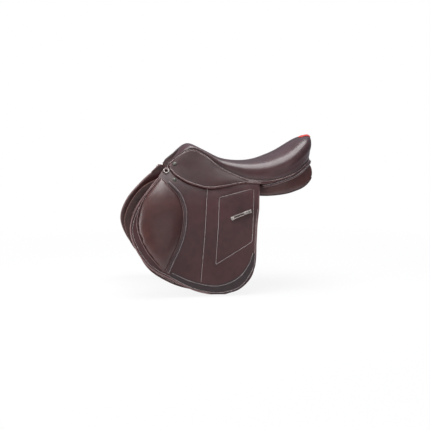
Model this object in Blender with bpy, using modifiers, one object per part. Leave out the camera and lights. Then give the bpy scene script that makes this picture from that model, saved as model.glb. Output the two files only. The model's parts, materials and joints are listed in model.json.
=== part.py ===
"""A forward-cut jumping saddle in brown leather, built from its separate pieces.

Metres, +Z up. The pommel points to -X and the saddle's near (left) side to -Y. The origin lies on
the plane of symmetry, below the lowest point of the seat, level with the underside of the panels.
Every piece of the near side is built first and then mirrored to the off (right) side.
"""
import math

import bmesh
import bpy
from mathutils import Matrix, Vector

# Leather, foam and webbing, from the outside in
FLAP_THICK = 0.004
FLAP_CLEAR = 0.002
GUARD_THICK = 0.002
WEB_THICK = 0.0015
BILLET_THICK = 0.0035
SWEAT_THICK = 0.0035
LAYER_GAP = 0.0009
KNEE_PANEL_THICK = 0.014
TOUCH_GAP = 0.0004
COVER_THICK = 0.0025
SEAT_DEPTH = 0.026
SEAT_WEB_THICK = 0.0015
WEB_LIFT = 0.0030
FOAM_LIFT = 0.0042
FOAM_GAP = 0.0020
TREE_THICK = 0.007
SKIRT_THICK = 0.0030
SKIRT_PROUD = 0.006
SKIRT_BULGE = 0.004
FACING_THICK = 0.0022

# The outer face of the hanging flap, as half of the saddle's width at a height
FACE_TOP_Z = 0.090
FACE_TOP_HALF = 0.073
FACE_FLARE = 0.142
FACE_DROP = 0.170
SHOULDER_START = -0.140
SHOULDER_RUN = 0.200
SHOULDER_SWELL = 0.014

# Fold lines, (x, z) on the flap's face and on the skirt: what is below them lifts
FLAP_FOLD = ((-0.264, 0.0625), (0.032, -0.036))
SKIRT_FOLD = ((-0.228, 0.091), (0.004, 0.041))
FOLD_GAP = 0.0009
FOLD_PROUD = 0.001
SKIRT_FOLD_GAP = 0.0022

# Flap outline below its fold: front edge down to the bottom, rear edge down to the bottom
FLAP_FRONT = ((-0.264, 0.0625), (-0.292, 0.034), (-0.337, -0.024), (-0.357, -0.084), (-0.342, -0.140),
              (-0.303, -0.194), (-0.239, -0.232), (-0.170, -0.266), (-0.125, -0.278))
FLAP_REAR = ((0.032, -0.036), (0.024, -0.078), (0.018, -0.133), (0.013, -0.190), (-0.001, -0.232),
             (-0.036, -0.265), (-0.080, -0.279))
HEAD_TOP = ((-0.264, 0.0650), (-0.251, 0.0800), (-0.239, 0.0905), (-0.231, 0.0890), (-0.222, 0.0865),
            (-0.205, 0.0890), (-0.188, 0.0820), (-0.166, 0.052), (-0.115, 0.040), (-0.070, 0.036),
            (-0.040, 0.037), (0.000, 0.037), (0.041, 0.034))
# How far the flap's top edge bends out to lie against the underside of the skirt
HEAD_RISE = 0.0024

# Under-flap, whose front and lower edges just show past the flap
SWEAT_FRONT = ((-0.225, 0.062), (-0.285, 0.028), (-0.325, -0.024), (-0.346, -0.084), (-0.336, -0.142),
               (-0.303, -0.198), (-0.243, -0.239), (-0.190, -0.259), (-0.130, -0.268))
SWEAT_REAR = ((0.012, 0.026), (0.006, -0.012), (0.000, -0.070), (-0.004, -0.130), (-0.010, -0.190),
              (-0.028, -0.235), (-0.075, -0.264))
KNEE_PANEL_FRONT = ((-0.226, 0.050), (-0.272, 0.018), (-0.306, -0.030), (-0.326, -0.084),
                    (-0.316, -0.138), (-0.280, -0.188))
KNEE_PANEL_REAR = ((-0.020, 0.012), (-0.050, -0.020), (-0.110, -0.060), (-0.150, -0.110),
                   (-0.180, -0.160), (-0.230, -0.206))

# Knee pad on the flap, a leaf between a front and a rear edge, and the flat band behind it
PAD_FRONT = ((-0.257, 0.060), (-0.285, 0.034), (-0.318, -0.006), (-0.336, -0.060), (-0.332, -0.100),
             (-0.310, -0.148), (-0.279, -0.187), (-0.259, -0.207))
PAD_REAR = ((-0.256, 0.060), (-0.236, 0.036), (-0.209, 0.004), (-0.198, -0.040), (-0.204, -0.090),
            (-0.220, -0.135), (-0.240, -0.172), (-0.257, -0.207))
PAD_CROWN = 0.019
PAD_EDGE = 0.002
BAND_INSET = 0.003
BAND_WIDTH = 0.010
BAND_THICK = 0.0022

# Grained patch along the flap's lower edge
PATCH_INNER = ((-0.237, -0.209), (-0.178, -0.236), (-0.105, -0.250), (-0.043, -0.229), (-0.010, -0.192),
               (0.004, -0.162))
PATCH_OUTER = ((-0.246, -0.222), (-0.178, -0.258), (-0.105, -0.275), (-0.036, -0.260), (0.006, -0.205),
               (0.013, -0.162))
PATCH_THICK = 0.0012

# Top of the seat along its middle, (x, z)
SEAT_SPINE = ((-0.190, 0.1420), (-0.181, 0.1515), (-0.168, 0.1585), (-0.152, 0.1575), (-0.113, 0.1375),
              (-0.061, 0.1130), (0.000, 0.1035), (0.052, 0.1065), (0.105, 0.1225), (0.110, 0.1245))
SPINE_END_X = 0.110

# Stations round the seat from the pommel's tip to the back of the cantle, one row each:
# the seam (x, y, z), the spine x that its rib starts from, the inner handle (share of the way in x
# and in y, rise) and the outer handle (out, up) that shape the roll
SEAT_STATIONS = (
    ((-0.2277, 0.060, 0.1015), -0.190, (0.05, 0.50, -0.004), (-0.020, 0.008)),
    ((-0.198, 0.060, 0.125), -0.172, (0.10, 0.50, -0.002), (-0.008, 0.010)),
    ((-0.170, 0.055, 0.142), -0.158, (0.40, 0.50, 0.000), (0.000, 0.011)),
    ((-0.148, 0.052, 0.145), -0.142, (0.50, 0.50, 0.000), (0.003, 0.008)),
    ((-0.113, 0.054, 0.125), -0.113, (0.50, 0.50, 0.000), (0.005, 0.013)),
    ((-0.061, 0.068, 0.084), -0.061, (0.50, 0.50, 0.000), (0.008, 0.028)),
    ((0.000, 0.095, 0.057), 0.000, (0.48, 0.48, 0.000), (0.012, 0.050)),
    ((0.060, 0.114, 0.052), 0.060, (0.48, 0.48, 0.001), (0.014, 0.063)),
    ((0.110, 0.119, 0.060), 0.105, (0.48, 0.48, 0.004), (0.014, 0.073)),
    ((0.150, 0.112, 0.075), 0.110, (0.46, 0.46, 0.010), (0.016, 0.086)),
    ((0.185, 0.092, 0.096), 0.110, (0.46, 0.46, 0.018), (0.022, 0.099)),
    ((0.208, 0.055, 0.110), 0.110, (0.46, 0.46, 0.024), (0.034, 0.118)),
    ((0.218, 0.000, 0.116), 0.110, (0.46, 0.46, 0.026), (0.046, 0.129)),
)
# Lower edge of the skirt at the first stations, (x, z), and then of the strip round the cantle
SKIRT_EDGE = ((-0.2295, 0.0885), (-0.216, 0.0705), (-0.190, 0.052), (-0.160, 0.039), (-0.115, 0.028),
              (-0.066, 0.032), (0.003, 0.0415))
STRIP_EDGE = ((0.060, 0.1190, 0.039), (0.109, 0.1235, 0.053), (0.1505, 0.1155, 0.067),
              (0.1865, 0.0935, 0.088), (0.2105, 0.0560, 0.102), (0.2205, 0.0000, 0.108))
SKIRT_REAR = 6
STRIP_LAST = 11.9
SEAM_GAP = 0.0013

# Tree: outer edge of its deck and lower end of its side wall at the same stations
TREE_DECK_EDGE = ((-0.210, 0.050, 0.106), (-0.193, 0.048, 0.118), (-0.165, 0.046, 0.126),
                  (-0.145, 0.046, 0.124), (-0.113, 0.048, 0.108), (-0.061, 0.060, 0.079),
                  (0.000, 0.082, 0.064), (0.060, 0.098, 0.060), (0.110, 0.100, 0.071),
                  (0.145, 0.094, 0.090), (0.176, 0.076, 0.114), (0.197, 0.046, 0.136),
                  (0.204, 0.000, 0.146))
TREE_WALL_END = ((-0.213, 0.066, 0.074), (-0.197, 0.070, 0.068), (-0.168, 0.076, 0.060),
                 (-0.147, 0.079, 0.055), (-0.113, 0.081, 0.048), (-0.061, 0.088, 0.045),
                 (0.000, 0.102, 0.045), (0.060, 0.106, 0.048), (0.112, 0.107, 0.058),
                 (0.147, 0.100, 0.074), (0.179, 0.083, 0.095), (0.202, 0.050, 0.115),
                 (0.211, 0.000, 0.123))
TREE_FIRST = 0.3
TREE_HEAD_END = 1.8
TREE_OPEN_FROM = 3.0
DECK_SHARES = (0.0, 0.21, 0.42, 0.61, 0.80, 1.0)
FOAM_SHARES = (0.0, 0.25, 0.50, 0.625, 0.75, 0.80)
WALL_SHARES = (0.5, 1.0)
TREE_RAIL_COLUMN = 2
HEAD_PLATE_THICK = 0.002

# Panel cushions: x, then the top inner, top outer, bottom outer and bottom inner corner. The inner corners
# are (y, z). The outer ones are (inset, z), measured in from the flap's face, which is carried on behind it.
PANEL_STATIONS = (
    (-0.205, (0.044, 0.064), (0.0414, 0.060), (0.0410, 0.026), (0.058, 0.030)),
    (-0.190, (0.040, 0.070), (0.0339, 0.066), (0.0374, 0.014), (0.052, 0.020)),
    (-0.113, (0.036, 0.069), (0.0313, 0.0573), (0.0329, 0.005), (0.040, 0.010)),
    (-0.040, (0.035, 0.066), (0.0228, 0.0545), (0.0299, 0.001), (0.038, 0.008)),
    (0.020, (0.036, 0.063), (0.0128, 0.0475), (0.0232, -0.001), (0.038, 0.008)),
    (0.070, (0.037, 0.062), (-0.0017, 0.0430), (0.0183, -0.002), (0.040, 0.008)),
    (0.120, (0.039, 0.069), (-0.0137, 0.0552), (0.0164, 0.002), (0.042, 0.011)),
    (0.155, (0.040, 0.087), (-0.0161, 0.0725), (0.0203, 0.010), (0.044, 0.017)),
    (0.185, (0.041, 0.104), (-0.0136, 0.0895), (0.0254, 0.021), (0.046, 0.026)),
    (0.206, (0.043, 0.103), (0.0035, 0.093), (0.0294, 0.038), (0.049, 0.040)),
    (0.2155, (0.046, 0.090), (0.0171, 0.085), (0.0257, 0.056), (0.051, 0.058)),
)
PANEL_SQUARE = 0.44
PANEL_POINTS = 16

# Piping between the cantle and the rear of the panels
PIPING_RADIUS = 0.0022
PIPING_PATH = ((0.050, 0.1140, 0.0330), (0.080, 0.1170, 0.0385), (0.110, 0.1190, 0.0478),
               (0.152, 0.1120, 0.0622), (0.189, 0.0915, 0.0835), (0.2125, 0.0550, 0.0985),
               (0.2195, 0.0200, 0.1038), (0.2205, 0.0000, 0.1043))

# Leather facing over the front of the pommel's arch: its lower edge, from the middle to the side
FACING_LOW = ((-0.199, 0.000, 0.108), (-0.204, 0.030, 0.105), (-0.214, 0.050, 0.093),
              (-0.221, 0.061, 0.076))
FACING_DROP = 0.0010

# Girth straps
BILLET_X = (-0.101, -0.055, -0.009)
BILLET_NAMES = ("front", "middle", "rear")
BILLET_WIDTH = 0.025
BILLET_TOP_Z = 0.022
BILLET_TIP_Z = -0.228
BILLET_POINT = 0.016
BILLET_PIVOT_DROP = 0.010
BILLET_HOLES = 7
BILLET_HOLE_PITCH = 0.025
BILLET_HOLE_RADIUS = 0.0028
WEB_TOP_Z = 0.028
WEB_HEIGHT = 0.030
WEB_OVERLAP = 0.008
GUARD_TOP_Z = -0.034
GUARD_HEIGHT = 0.090
GUARD_SLIDE_GAP = 0.0007

# Stirrup bars, seated in a recess of the tree
BAR_STATION = 3.72
BAR_LENGTH = 0.066
BAR_PLATE_HEIGHT = 0.022
BAR_PLATE_THICK = 0.003
BAR_SLOT = 0.0085
BAR_ARM_HEIGHT = 0.009
BAR_ARM_THICK = 0.0055
BAR_RECESS = 0.0030
CATCH_THICK = 0.003
CATCH_PIN_RADIUS = 0.0015
RIVET_RADIUS = 0.0030
RIVET_HEAD = 0.0014

# Small metal
NAIL_RADIUS = 0.0055
NAIL_HEIGHT = 0.0026
SKIRT_NAIL = (1.02, 0.78)
FLAP_NAIL = (-0.2172, 0.0540)
DEE_AT = (-0.2400, 0.0815)
DEE_WIDTH = 0.016
DEE_DEPTH = 0.012
DEE_WIRE = 0.0014
DEE_LIFT = 0.0037
CHAPE_SIZE = (0.0085, 0.0085, 0.0064)
KEEPER_LINE = ((-0.055, -0.062), (0.008, -0.040))
KEEPER_WIDTH = 0.0095
KEEPER_THICK = 0.0022
KEEPER_LIFT = 0.0060
BOSS_SHARE = 0.68
BOSS_RADIUS = 0.0052
BOSS_HEIGHT = 0.0022
INLAY_THICK = 0.0012
INLAY_STATIONS = (11.3, 12.0)
INLAY_SPAN = (0.50, 0.80)

COLOURS = {
    "leather": ((0.060, 0.028, 0.024, 1), 0.42, 0.0),
    "grain_leather": ((0.040, 0.026, 0.022, 1), 0.62, 0.0),
    "red_leather": ((0.60, 0.040, 0.030, 1), 0.45, 0.0),
    "foam": ((0.75, 0.72, 0.62, 1), 0.90, 0.0),
    "webbing": ((0.55, 0.50, 0.40, 1), 0.85, 0.0),
    "tree_plastic": ((0.030, 0.030, 0.032, 1), 0.50, 0.0),
    "steel": ((0.52, 0.51, 0.48, 1), 0.32, 1.0),
}


def clear_scene():
    for obj in list(bpy.data.objects):
        bpy.data.objects.remove(obj, do_unlink=True)


def new_collection(name):
    made = bpy.data.collections.new(name)
    bpy.context.scene.collection.children.link(made)
    return made


def new_material(name):
    colour, roughness, metallic = COLOURS[name]
    made = bpy.data.materials.new(name)
    made.use_nodes = True
    shader = made.node_tree.nodes["Principled BSDF"]
    shader.inputs["Base Color"].default_value = colour
    shader.inputs["Roughness"].default_value = roughness
    shader.inputs["Metallic"].default_value = metallic
    return made


# Curves and tables


def smooth(t):
    t = min(1.0, max(0.0, t))
    return t * t * (3 - 2 * t)


def through(points, t):
    """The place at t, from 0 to 1, on a smooth curve through the points, spaced by their distances."""
    points = [Vector(p) for p in points]
    knots = [0.0]
    for a, b in zip(points, points[1:]):
        knots.append(knots[-1] + (b - a).length)
    return at_knot(points, knots, t * knots[-1])


def at_knot(points, knots, at):
    """The place at a knot value on a cubic curve through the points."""
    last = len(points) - 2
    i = min(max(sum(k <= at for k in knots) - 1, 0), last)
    span = knots[i + 1] - knots[i]
    u = (at - knots[i]) / span

    def slope(j):
        before, after = max(j - 1, 0), min(j + 1, len(points) - 1)
        return (points[after] - points[before]) / (knots[after] - knots[before]) * span

    h1 = 2 * u ** 3 - 3 * u ** 2 + 1
    h2 = u ** 3 - 2 * u ** 2 + u
    h3 = -2 * u ** 3 + 3 * u ** 2
    h4 = u ** 3 - u ** 2
    return points[i] * h1 + slope(i) * h2 + points[i + 1] * h3 + slope(i + 1) * h4


def at_station(rows, s):
    """A table's row, of vectors, read smoothly at station s."""
    return at_knot([Vector(r) for r in rows], list(range(len(rows))), s)


def steps(first, last, count):
    return [first + (last - first) * i / (count - 1) for i in range(count)]


# The flap's face and what lies at a depth under it


def face_half(x, z):
    flare = 1 - math.exp(-(FACE_TOP_Z - z) / FACE_DROP)
    return FACE_TOP_HALF + FACE_FLARE * flare + SHOULDER_SWELL * smooth((SHOULDER_START - x) / SHOULDER_RUN)


def face_normal(x, z):
    step = 0.001
    along_x = (face_half(x + step, z) - face_half(x - step, z)) / (2 * step)
    along_z = (face_half(x, z + step) - face_half(x, z - step)) / (2 * step)
    return Vector((-along_x, -1.0, -along_z)).normalized()


def on_face(x, z, depth=0.0):
    """A point of the near side, depth under the flap's outer face."""
    return Vector((x, -face_half(x, z), z)) - face_normal(x, z) * depth


# Depths of the hanging layers under the flap's face
WEB_DEPTH = FLAP_THICK + FLAP_CLEAR + GUARD_THICK + LAYER_GAP
BILLET_DEPTH = WEB_DEPTH + WEB_THICK + LAYER_GAP / 2
GUARD_DEPTH = BILLET_DEPTH - GUARD_SLIDE_GAP - GUARD_THICK
SWEAT_DEPTH = BILLET_DEPTH + BILLET_THICK + LAYER_GAP
KNEE_PANEL_DEPTH = SWEAT_DEPTH + SWEAT_THICK + 0.0015


# Meshes


def link(mesh, name, material):
    obj = bpy.data.objects.new(name, mesh)
    mesh.materials.append(MATERIALS[material])
    PARTS.objects.link(obj)
    mesh.shade_smooth()
    mesh.set_sharp_from_angle(angle=math.radians(40))
    return obj


def grid_mesh(name, grid, flip=False):
    """An open sheet of four-sided faces over rows of points. Points that coincide are made one."""
    columns = len(grid[0])
    faces = []
    for r in range(len(grid) - 1):
        for c in range(columns - 1):
            a = r * columns + c
            face = (a, a + 1, a + columns + 1, a + columns)
            faces.append(face[::-1] if flip else face)
    mesh = bpy.data.meshes.new(name)
    mesh.from_pydata([p for row in grid for p in row], [], faces)
    weld(mesh)
    return mesh


def weld(mesh):
    shape = bmesh.new()
    shape.from_mesh(mesh)
    bmesh.ops.remove_doubles(shape, verts=shape.verts, dist=1e-6)
    shape.to_mesh(mesh)
    shape.free()


def outward(mesh):
    shape = bmesh.new()
    shape.from_mesh(mesh)
    bmesh.ops.recalc_face_normals(shape, faces=shape.faces)
    shape.to_mesh(mesh)
    shape.free()


def solidify(obj, thickness):
    made = obj.modifiers.new("thickness", "SOLIDIFY")
    made.thickness = thickness
    made.offset = -1.0
    made.use_even_offset = True


def sheet(name, grid, thickness, material, flip=False):
    """A leather sheet: its outer face is the grid and its thickness goes inward."""
    obj = link(grid_mesh(name, grid, flip), name, material)
    solidify(obj, thickness)
    return obj


def slab(name, outer, inner, material, joined=False):
    """A closed piece between an outer and an inner grid of the same layout.

    A joined piece stays open along its first column, and where a row ends on the plane of
    symmetry, for its mirror image.
    """
    rows, columns = len(outer), len(outer[0])
    size = rows * columns
    faces = []
    for r in range(rows - 1):
        for c in range(columns - 1):
            a = r * columns + c
            face = (a, a + 1, a + columns + 1, a + columns)
            faces.append(face)
            faces.append(tuple(i + size for i in face[::-1]))

    def rim(a, b):
        faces.append((b, a, a + size, b + size))

    def on_plane(r):
        return abs(outer[r][-1].y) < 1e-6

    if not on_plane(0):
        for c in range(columns - 1):
            rim(c, c + 1)
    for r in range(rows - 1):
        rim(r * columns + columns - 1, (r + 1) * columns + columns - 1)
        if not joined:
            rim((r + 1) * columns, r * columns)
    if not on_plane(rows - 1):
        for c in range(columns - 1):
            rim((rows - 1) * columns + c + 1, (rows - 1) * columns + c)
    mesh = bpy.data.meshes.new(name)
    points = [p for row in outer for p in row] + [p for row in inner for p in row]
    mesh.from_pydata(points, [], faces)
    weld(mesh)
    outward(mesh)
    return link(mesh, name, material)


def loft(name, sections, material):
    """A closed piece through closed sections, capped at both ends."""
    count = len(sections[0])
    faces = []
    for r in range(len(sections) - 1):
        for c in range(count):
            d = (c + 1) % count
            faces.append((r * count + c, r * count + d, (r + 1) * count + d, (r + 1) * count + c))
    faces.append(tuple(range(count))[::-1])
    last = (len(sections) - 1) * count
    faces.append(tuple(range(last, last + count)))
    mesh = bpy.data.meshes.new(name)
    mesh.from_pydata([p for section in sections for p in section], [], faces)
    outward(mesh)
    return link(mesh, name, material)


def tube(name, points, radius, material, closed=False, resolution=1):
    """A round wire or piping through the points."""
    curve = bpy.data.curves.new(name, "CURVE")
    curve.dimensions = "3D"
    curve.bevel_depth = radius
    curve.bevel_resolution = resolution
    curve.use_fill_caps = not closed
    line = curve.splines.new("POLY")
    line.points.add(len(points) - 1)
    for target, p in zip(line.points, points):
        target.co = (*p, 1.0)
    line.use_cyclic_u = closed
    curve.materials.append(MATERIALS[material])
    obj = bpy.data.objects.new(name, curve)
    PARTS.objects.link(obj)
    return obj


def box(name, size, frame, material, centre=(0, 0, 0)):
    """A box of the given size, centred at a place of a frame."""
    shape = bmesh.new()
    bmesh.ops.create_cube(shape, size=1.0)
    bmesh.ops.scale(shape, verts=shape.verts, vec=size)
    bmesh.ops.translate(shape, verts=shape.verts, vec=centre)
    mesh = bpy.data.meshes.new(name)
    shape.to_mesh(mesh)
    shape.free()
    obj = link(mesh, name, material)
    obj.matrix_world = frame
    return obj


def boolean(obj, other, operation):
    made = obj.modifiers.new(operation.lower(), "BOOLEAN")
    made.operation = operation
    made.object = other
    made.solver = "EXACT"


def as_helper(obj):
    for holder in list(obj.users_collection):
        holder.objects.unlink(obj)
    HELPERS.objects.link(obj)
    obj.hide_render = True
    obj.display_type = "WIRE"


def frame_at(origin, x_axis, z_axis):
    """A frame whose Z is z_axis and whose X lies as near x_axis as it can."""
    z = Vector(z_axis).normalized()
    y = z.cross(Vector(x_axis)).normalized()
    x = y.cross(z)
    turn = Matrix((x, y, z)).transposed().to_4x4()
    return Matrix.Translation(origin) @ turn


# Grids over the flap's face and over the seat


def face_grid(front, rear, rows, columns, depth=0.0):
    """Points between a front and a rear edge that both run down the flap, at a depth under its face."""
    grid = []
    for t in steps(0, 1, rows):
        a, b = through(front, t), through(rear, t)
        grid.append([on_face(*a.lerp(b, u), depth) for u in steps(0, 1, columns)])
    return grid


def spine(x):
    """Top of the seat on its middle line."""
    points = [Vector(p) for p in SEAT_SPINE]
    place = at_knot(points, [p.x for p in points], x)
    return Vector((x, 0.0, place.y))


def seat_row(s):
    """Seam point, spine point and the two handles of the rib at station s."""
    seam = at_station([r[0] for r in SEAT_STATIONS], s)
    start_x = at_station([(r[1], 0, 0) for r in SEAT_STATIONS], s).x
    share_x, share_y, rise = at_station([r[2] for r in SEAT_STATIONS], s)
    out, up, _ = at_station([(*r[3], 0) for r in SEAT_STATIONS], s)
    start = spine(min(start_x, SPINE_END_X))
    reach = Vector((seam.x - start.x, seam.y, 0.0))
    inner = start + Vector((reach.x * share_x, reach.y * share_y, rise))
    outer = seam + reach.normalized() * out + Vector((0, 0, up))
    return start, inner, outer, seam


def near(point):
    """A point given on the +Y side, brought to the near side."""
    return Vector((point.x, -point.y, point.z))


def seat_point(s, r):
    """The seat's upper surface on the near side, r from 0 at the spine to 1 at the seam."""
    a, b, c, d = seat_row(s)
    q = 1 - r
    return near(a * q ** 3 + b * 3 * q * q * r + c * 3 * q * r * r + d * r ** 3)


def deck_point(s, r):
    """The top of the tree's deck under the seat, r from 0 at the middle to 1 at its outer edge."""
    start = seat_row(s)[0] - Vector((0, 0, SEAT_DEPTH))
    edge = at_station(TREE_DECK_EDGE, s)
    place = start.lerp(edge, r)
    place.z = start.z + (edge.z - start.z) * r * r
    return near(place)


def offset_grid(grid, distance):
    """The grid moved along its normals by a distance that holds square to each of its faces.

    A point on the plane of symmetry stays on it, and rows that share a point go on sharing it.
    """
    rows, columns = len(grid), len(grid[0])
    faces = {}
    for r in range(rows - 1):
        for c in range(columns - 1):
            one = grid[r + 1][c + 1] - grid[r][c]
            other = grid[r + 1][c] - grid[r][c + 1]
            normal = one.cross(other)
            if normal.length > 1e-10:
                faces[r, c] = normal.normalized()
    moved = []
    for r in range(rows):
        line = []
        for c in range(columns):
            around = [faces[k] for k in ((r - 1, c - 1), (r - 1, c), (r, c - 1), (r, c)) if k in faces]
            mean = sum(around, Vector())
            if abs(grid[r][c].y) < 1e-6:
                mean.y = 0.0
            mean.normalize()
            least = max(0.5, min(mean.dot(n) for n in around))
            if r and (grid[r][c] - grid[r - 1][c]).length < 1e-6:
                line.append(moved[r - 1][c])
            else:
                line.append(grid[r][c] + mean * (distance / least))
        moved.append(line)
    return moved


def mirror_joined(obj):
    """Adds the off half of a piece that is open at the plane of symmetry."""
    for vertex in obj.data.vertices:
        if abs(vertex.co.y) < 2e-6:
            vertex.co.y = 0.0
    made = obj.modifiers.new("mirror", "MIRROR")
    made.use_axis = (False, True, False)
    made.use_clip = False
    made.merge_threshold = 0.00002


# Seat, tree and the pieces inside


def seat_stations():
    return steps(0, len(SEAT_STATIONS) - 1, 21)


def inner_stations(first):
    """Stations for the pieces inside, which end on the plane of symmetry behind the cantle."""
    return [first] + seat_stations()[1:]


def seat_grid(stations, shares):
    return [[seat_point(s, r) for r in shares] for s in stations]


def deck_grid(stations, shares, lift):
    return [[deck_point(s, r) + Vector((0, 0, lift)) for r in shares] for s in stations]


def make_seat():
    stations = seat_stations()
    cover = link(grid_mesh("seat_cover", seat_grid(stations, steps(0, 1, 9))), "seat_cover", "leather")
    mirror_joined(cover)
    solidify(cover, COVER_THICK)

    stations = seat_stations()[1:]
    outer = offset_grid(seat_grid(stations, FOAM_SHARES), -COVER_THICK - FOAM_GAP)
    inner = deck_grid(stations, DECK_SHARES, FOAM_LIFT)
    foam = slab("seat_foam", outer, inner, "foam", joined=True)
    mirror_joined(foam)

    stations = seat_stations()[5:17]
    web = link(grid_mesh("seat_webbing", deck_grid(stations, DECK_SHARES[:5], WEB_LIFT)),
               "seat_webbing", "webbing")
    mirror_joined(web)
    solidify(web, SEAT_WEB_THICK)


def tree_point(s, c):
    """A place on the tree's outer surface: the deck's columns first, then down its side wall."""
    if c < len(DECK_SHARES):
        return deck_point(s, DECK_SHARES[c])
    share = WALL_SHARES[c - len(DECK_SHARES)]
    edge = deck_point(s, 1.0)
    return edge.lerp(near(at_station(TREE_WALL_END, s)), share)


def make_tree():
    stations = inner_stations(TREE_FIRST)
    columns = len(DECK_SHARES) + len(WALL_SHARES)
    grid = [[tree_point(s, c) for c in range(columns)] for s in stations]
    mesh = grid_mesh("tree", grid)
    shape = bmesh.new()
    shape.from_mesh(mesh)
    rail = [tree_point(s, TREE_RAIL_COLUMN) for s in stations]
    open_from = stations.index(min(stations, key=lambda s: abs(s - TREE_OPEN_FROM)))
    spare = []
    for face in shape.faces:
        centre = face.calc_center_median()
        if centre.x > rail[open_from].x and inside_rail(centre, rail[open_from:]):
            spare.append(face)
    bmesh.ops.delete(shape, geom=spare, context="FACES")
    shape.to_mesh(mesh)
    shape.free()
    tree = link(mesh, "tree", "tree_plastic")
    mirror_joined(tree)
    solidify(tree, TREE_THICK)

    plate_stations = [0.6, 1.2, 1.8]
    plate = [[tree_point(s, c) for c in range(columns)] for s in plate_stations]
    outer = offset_grid(plate, -TREE_THICK - 2.5 * TOUCH_GAP)
    inner = offset_grid(plate, -TREE_THICK - 2.5 * TOUCH_GAP - HEAD_PLATE_THICK)
    head = slab("head_plate", outer, inner, "steel", joined=True)
    mirror_joined(head)
    return tree


def inside_rail(point, rail):
    """True for a place between the middle line and the rail's inner edge."""
    for a, b in zip(rail, rail[1:]):
        if a.x <= point.x <= b.x:
            share = (point.x - a.x) / max(b.x - a.x, 1e-9)
            return -point.y < -(a.y + (b.y - a.y) * share)
    return False


def make_facing():
    shares = steps(0, 0.9, 8)
    under = offset_grid(seat_grid((0.0, 0.3), shares), -COVER_THICK - FACING_DROP)
    top = [p + Vector((-0.001, 0, 0)) for p in under[0]]
    low = [near(through(FACING_LOW, t)) for t in steps(0, 1, 8)]
    grid = [[a.lerp(b, u) for a, b in zip(top, low)] for u in steps(0, 1, 4)]
    facing = link(grid_mesh("pommel_facing", grid, flip=False), "pommel_facing", "leather")
    mirror_joined(facing)
    solidify(facing, FACING_THICK)


def make_inlay():
    """The small leather patch let into the top of the cantle."""
    stations = steps(*INLAY_STATIONS, 4)
    first, last = INLAY_SPAN
    middle = (first + last) / 2
    grid = []
    for i, s in enumerate(stations):
        reach = 0.25 + 0.75 * i / (len(stations) - 1)
        shares = steps(middle - (middle - first) * reach, middle + (last - middle) * reach, 8)
        grid.append([seat_point(s, r) for r in shares])
    outer = offset_grid(grid, TOUCH_GAP + INLAY_THICK)
    inner = offset_grid(grid, TOUCH_GAP)
    inlay = slab("cantle_inlay", outer, inner, "red_leather")
    mirror_joined(inlay)


def make_piping():
    half = [through(PIPING_PATH, t) for t in steps(0, 1, 15)]
    path = [near(p) for p in half] + half[-2::-1]
    tube("cantle_piping", path, PIPING_RADIUS, "leather")


# Skirt, and the strip that carries it on round the cantle


def skirt_edge(s):
    rows = [(x, face_half(x, z) + SKIRT_PROUD * 1.15, z) for x, z in SKIRT_EDGE]
    return near(at_station(rows + list(STRIP_EDGE), s))


def skirt_fold(s):
    """The fold's place at a station; behind the skirt, the lower edge of the strip."""
    low = skirt_edge(s)
    if s >= SKIRT_REAR:
        return low
    front, rear = (on_face(x, z, -SKIRT_PROUD) for x, z in SKIRT_FOLD)
    return front.lerp(rear, min(1.0, max(0.0, (low.x - front.x) / (rear.x - front.x))))


def skirt_profile(s, v):
    """The skirt's outer face at a station: v is 0 at the seam, 1 at the fold and 2 at the lower edge."""
    seam = near(at_station([r[0] for r in SEAT_STATIONS], s))
    fold, low = skirt_fold(s), skirt_edge(s)
    seam += (fold - seam).normalized() * SEAM_GAP
    upper, lower = (fold - seam).length, (low - fold).length
    if lower < 0.0005:
        place = seam.lerp(fold, min(v, 1.0))
    else:
        at = upper * v if v <= 1 else upper + lower * (v - 1)
        place = at_knot([seam, fold, low], [0.0, upper, upper + lower], at)
    swell = SKIRT_BULGE * math.sin(math.pi * min(v, 1.0)) ** 2
    swell *= smooth((SKIRT_REAR - s) / 2) * smooth(s + 0.3)
    return place + Vector((0, -0.8, 0.6)) * swell


def skirt_lower(s, u):
    """From just under the fold, u=0, to the skirt's lower edge, u=1."""
    down = skirt_edge(s) - skirt_fold(s)
    first = 1 + SKIRT_FOLD_GAP / down.length
    return skirt_profile(s, first + (2 - first) * u)


def skirt_pivot():
    """The middle of the skirt's hinge line, just outside its fold."""
    front, rear = (on_face(x, z, -SKIRT_PROUD - FOLD_PROUD) for x, z in SKIRT_FOLD)
    return front.lerp(rear, 0.5)


def make_skirt():
    stations = seat_stations()[:-1] + [STRIP_LAST]
    top = [[skirt_profile(s, u) for s in stations] for u in steps(0, 1, 5)]
    sheet("skirt_top_near", top, SKIRT_THICK, "leather", flip=True)

    stations = steps(0.2, SKIRT_REAR - 0.5, 13)
    low = [[skirt_lower(s, u) for s in stations] for u in steps(0, 1, 3)]
    skirt = sheet("skirt_near", low, SKIRT_THICK, "leather", flip=True)
    set_origin(skirt, skirt_pivot())


# Flap and what is stitched to it


def fold_point(t, drop=0.0):
    a, b = (Vector(p) for p in FLAP_FOLD)
    place = a.lerp(b, t)
    place.y -= drop
    return place


def flap_pivot():
    a, b = (on_face(*p, -FOLD_PROUD) for p in FLAP_FOLD)
    return a.lerp(b, 0.5)


def transposed(grid):
    return [list(row) for row in zip(*grid)]


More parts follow.
